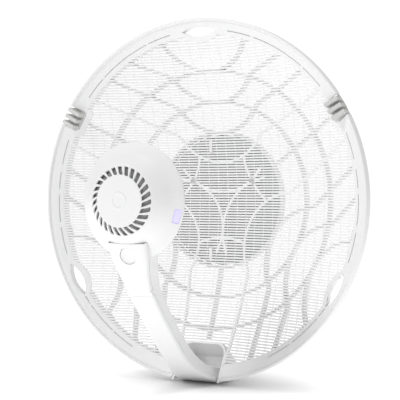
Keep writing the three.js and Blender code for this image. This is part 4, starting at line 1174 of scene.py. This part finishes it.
class BRIDGE_OT_hardware(bpy.types.Operator):
    """Finishes and soft edges on every carried node: bracket, bolts, bands and inner parts"""

    bl_idname = "bridge.hardware"
    bl_label = "Hardware and finishes"

    WIDTHS = {"arm_housing": 0.0009, "arm_socket": 0.0008, "hub_plate": 0.0008,
              "pole_bracket": 0.00025, "tilt_yoke": 0.00025}

    def execute(self, context):
        coat = finishes()
        soft = soften_tree()
        slots = {s["node"]: s["material_slot"] for s in frame["record"]["subparts"]}
        for name, node in frame["nodes"].items():
            node.data.materials.clear()
            own = "catch_grey" if name.startswith("radome_catch") else FINISH_OF[slots[name]]
            node.data.materials.append(coat[own])
            if node.hide_render:
                continue
            facets = node.modifiers.new("facets", "NODES")
            facets.node_group = soft
            edge = node.modifiers.new("edge", "BEVEL")
            edge.width = self.WIDTHS.get(name, 0.0003)
            edge.segments = 2
            edge.limit_method = "ANGLE"
            edge.angle_limit = math.radians(38)
            edge.harden_normals = True
        return {"FINISHED"}


class BRIDGE_OT_stage(bpy.types.Operator):
    """Pale floor, soft studio light and the camera"""

    bl_idname = "bridge.stage"
    bl_label = "Stage"

    LAMPS = (("key", (-1.2, -1.9, 1.8), 0.9, 22), ("top", (0.1, -0.1, 1.6), 0.6, 8))
    FLOOR_HALF = 6.0

    def execute(self, context):
        scene = context.scene
        stage = scene.bridge_stage
        floor_z = CAD_BOX[0][2]
        bm = bmesh.new()
        for x, y in ((-1, -1), (1, -1), (1, 1), (-1, 1)):
            bm.verts.new((x * self.FLOOR_HALF, y * self.FLOOR_HALF, floor_z))
        bm.faces.new(bm.verts)
        floor = loose_object("floor", mesh_of(bm, "floor", outward=False))
        floor.data.materials.append(self.floor_finish())
        world = bpy.data.worlds.new("studio")
        world.use_nodes = True
        tree = Tree(world.node_tree)
        sky = world.node_tree.nodes["Background"]
        sky.inputs["Color"].default_value = (1, 1, 1, 1)
        seen = tree.add("ShaderNodeLightPath").outputs["Is Camera Ray"]
        strength = tree.add("ShaderNodeMapRange", {"Value": seen, "To Min": stage.sky,
                                                   "To Max": stage.backdrop}).outputs[0]
        tree.group.links.new(strength, sky.inputs["Strength"])
        scene.world = world
        scene.view_settings.view_transform = "Standard"
        for name, place, width, watts in self.LAMPS:
            self.lamp(name, place, width, watts)
        a, e = stage.azimuth, stage.elevation
        back = Vector((math.sin(a) * math.cos(e), -math.cos(a) * math.cos(e), math.sin(e)))
        middle = at(0, 0, 0)
        lens = bpy.data.cameras.new("camera")
        lens.sensor_width, lens.lens = 36, 103.07
        lens.shift_x, lens.shift_y = 0.0135, 0.0005
        lens.clip_start, lens.clip_end = 0.05, 50
        camera = bpy.data.objects.new("camera", lens)
        scene.collection.objects.link(camera)
        camera.location = middle + back * stage.distance
        turn = (middle - camera.location).to_track_quat("-Z", "Y")
        camera.rotation_euler = turn.to_euler()
        scene.camera = camera
        return {"FINISHED"}

    @staticmethod
    def floor_finish():
        """Matt white with painted light: it glows white more and more away from the object, so that
        no horizon shows and the floor round the chin stays darker.
        """
        material = finish("floor_white", (0.9, 0.9, 0.9), 0.45, grain=60, grain_bump=0.0,
                          cloud=0.004)
        tree = Tree(material.node_tree)
        where = tree.add("ShaderNodeTexCoord").outputs["Object"]
        chin = (0, PLANE + 0.01, CAD_BOX[0][2])
        away = tree.add("ShaderNodeVectorMath", {0: where, 1: chin},
                        operation="DISTANCE").outputs["Value"]
        # Painted light and shade: emission is zero within 3 cm of the chin and rises to 0.62 at 17
        # cm, so the floor glows white far off and stays darker round the chin.
        painted_floor_glow = tree.add("ShaderNodeMapRange", {"Value": away, "From Min": 0.03, "From Max": 0.17,
                                               "To Min": 0.0, "To Max": 0.62}).outputs[0]
        skin = next(n for n in material.node_tree.nodes if n.type == "BSDF_PRINCIPLED")
        skin.inputs["Emission Color"].default_value = (1, 1, 1, 1)
        tree.group.links.new(painted_floor_glow, skin.inputs["Emission Strength"])
        return material

    @staticmethod
    def lamp(name, place, size, power):
        data = bpy.data.lights.new(name, "AREA")
        data.shape, data.size, data.energy = "DISK", size, power
        lamp = bpy.data.objects.new(name, data)
        bpy.context.scene.collection.objects.link(lamp)
        lamp.location = place
        aim = at(0, 0, 0) - Vector(place)
        lamp.rotation_euler = aim.to_track_quat("-Z", "Y").to_euler()


# ------------------------------------------------------------------ panel and running


class BRIDGE_PT_panel(bpy.types.Panel):
    """Sizes, colours and the steps that build the bridge."""

    bl_idname = "BRIDGE_PT_panel"
    bl_label = "Wireless bridge"
    bl_space_type = "VIEW_3D"
    bl_region_type = "UI"
    bl_category = "Bridge"

    def draw(self, context):
        scene = context.scene
        for group in (scene.bridge_dish, scene.bridge_head, scene.bridge_arm,
                      scene.bridge_colours, scene.bridge_stage):
            column = self.layout.column(align=True)
            for key in group.__annotations__:
                column.prop(group, key)
        for step in STEPS:
            self.layout.operator(step.bl_idname)


GROUPS = {"bridge_dish": DishSizes, "bridge_head": HeadSizes, "bridge_arm": ArmSizes,
          "bridge_colours": BridgeColours, "bridge_stage": StageSettings}
STEPS = (BRIDGE_OT_rim, BRIDGE_OT_pocket, BRIDGE_OT_mesh, BRIDGE_OT_ribs, BRIDGE_OT_hub,
         BRIDGE_OT_screws, BRIDGE_OT_head, BRIDGE_OT_arm, BRIDGE_OT_hardware, BRIDGE_OT_stage)


def register():
    for group in GROUPS.values():
        bpy.utils.register_class(group)
    for name, group in GROUPS.items():
        setattr(bpy.types.Scene, name, bpy.props.PointerProperty(type=group))
    for step in (*STEPS, BRIDGE_PT_panel):
        bpy.utils.register_class(step)


def unregister():
    for step in (BRIDGE_PT_panel, *reversed(STEPS)):
        bpy.utils.unregister_class(step)
    for name, group in reversed(list(GROUPS.items())):
        delattr(bpy.types.Scene, name)
        bpy.utils.unregister_class(group)


def main():
    register()
    for step in STEPS:
        package, name = step.bl_idname.split(".")
        getattr(getattr(bpy.ops, package), name)()


if __name__ == "__main__":
    main()
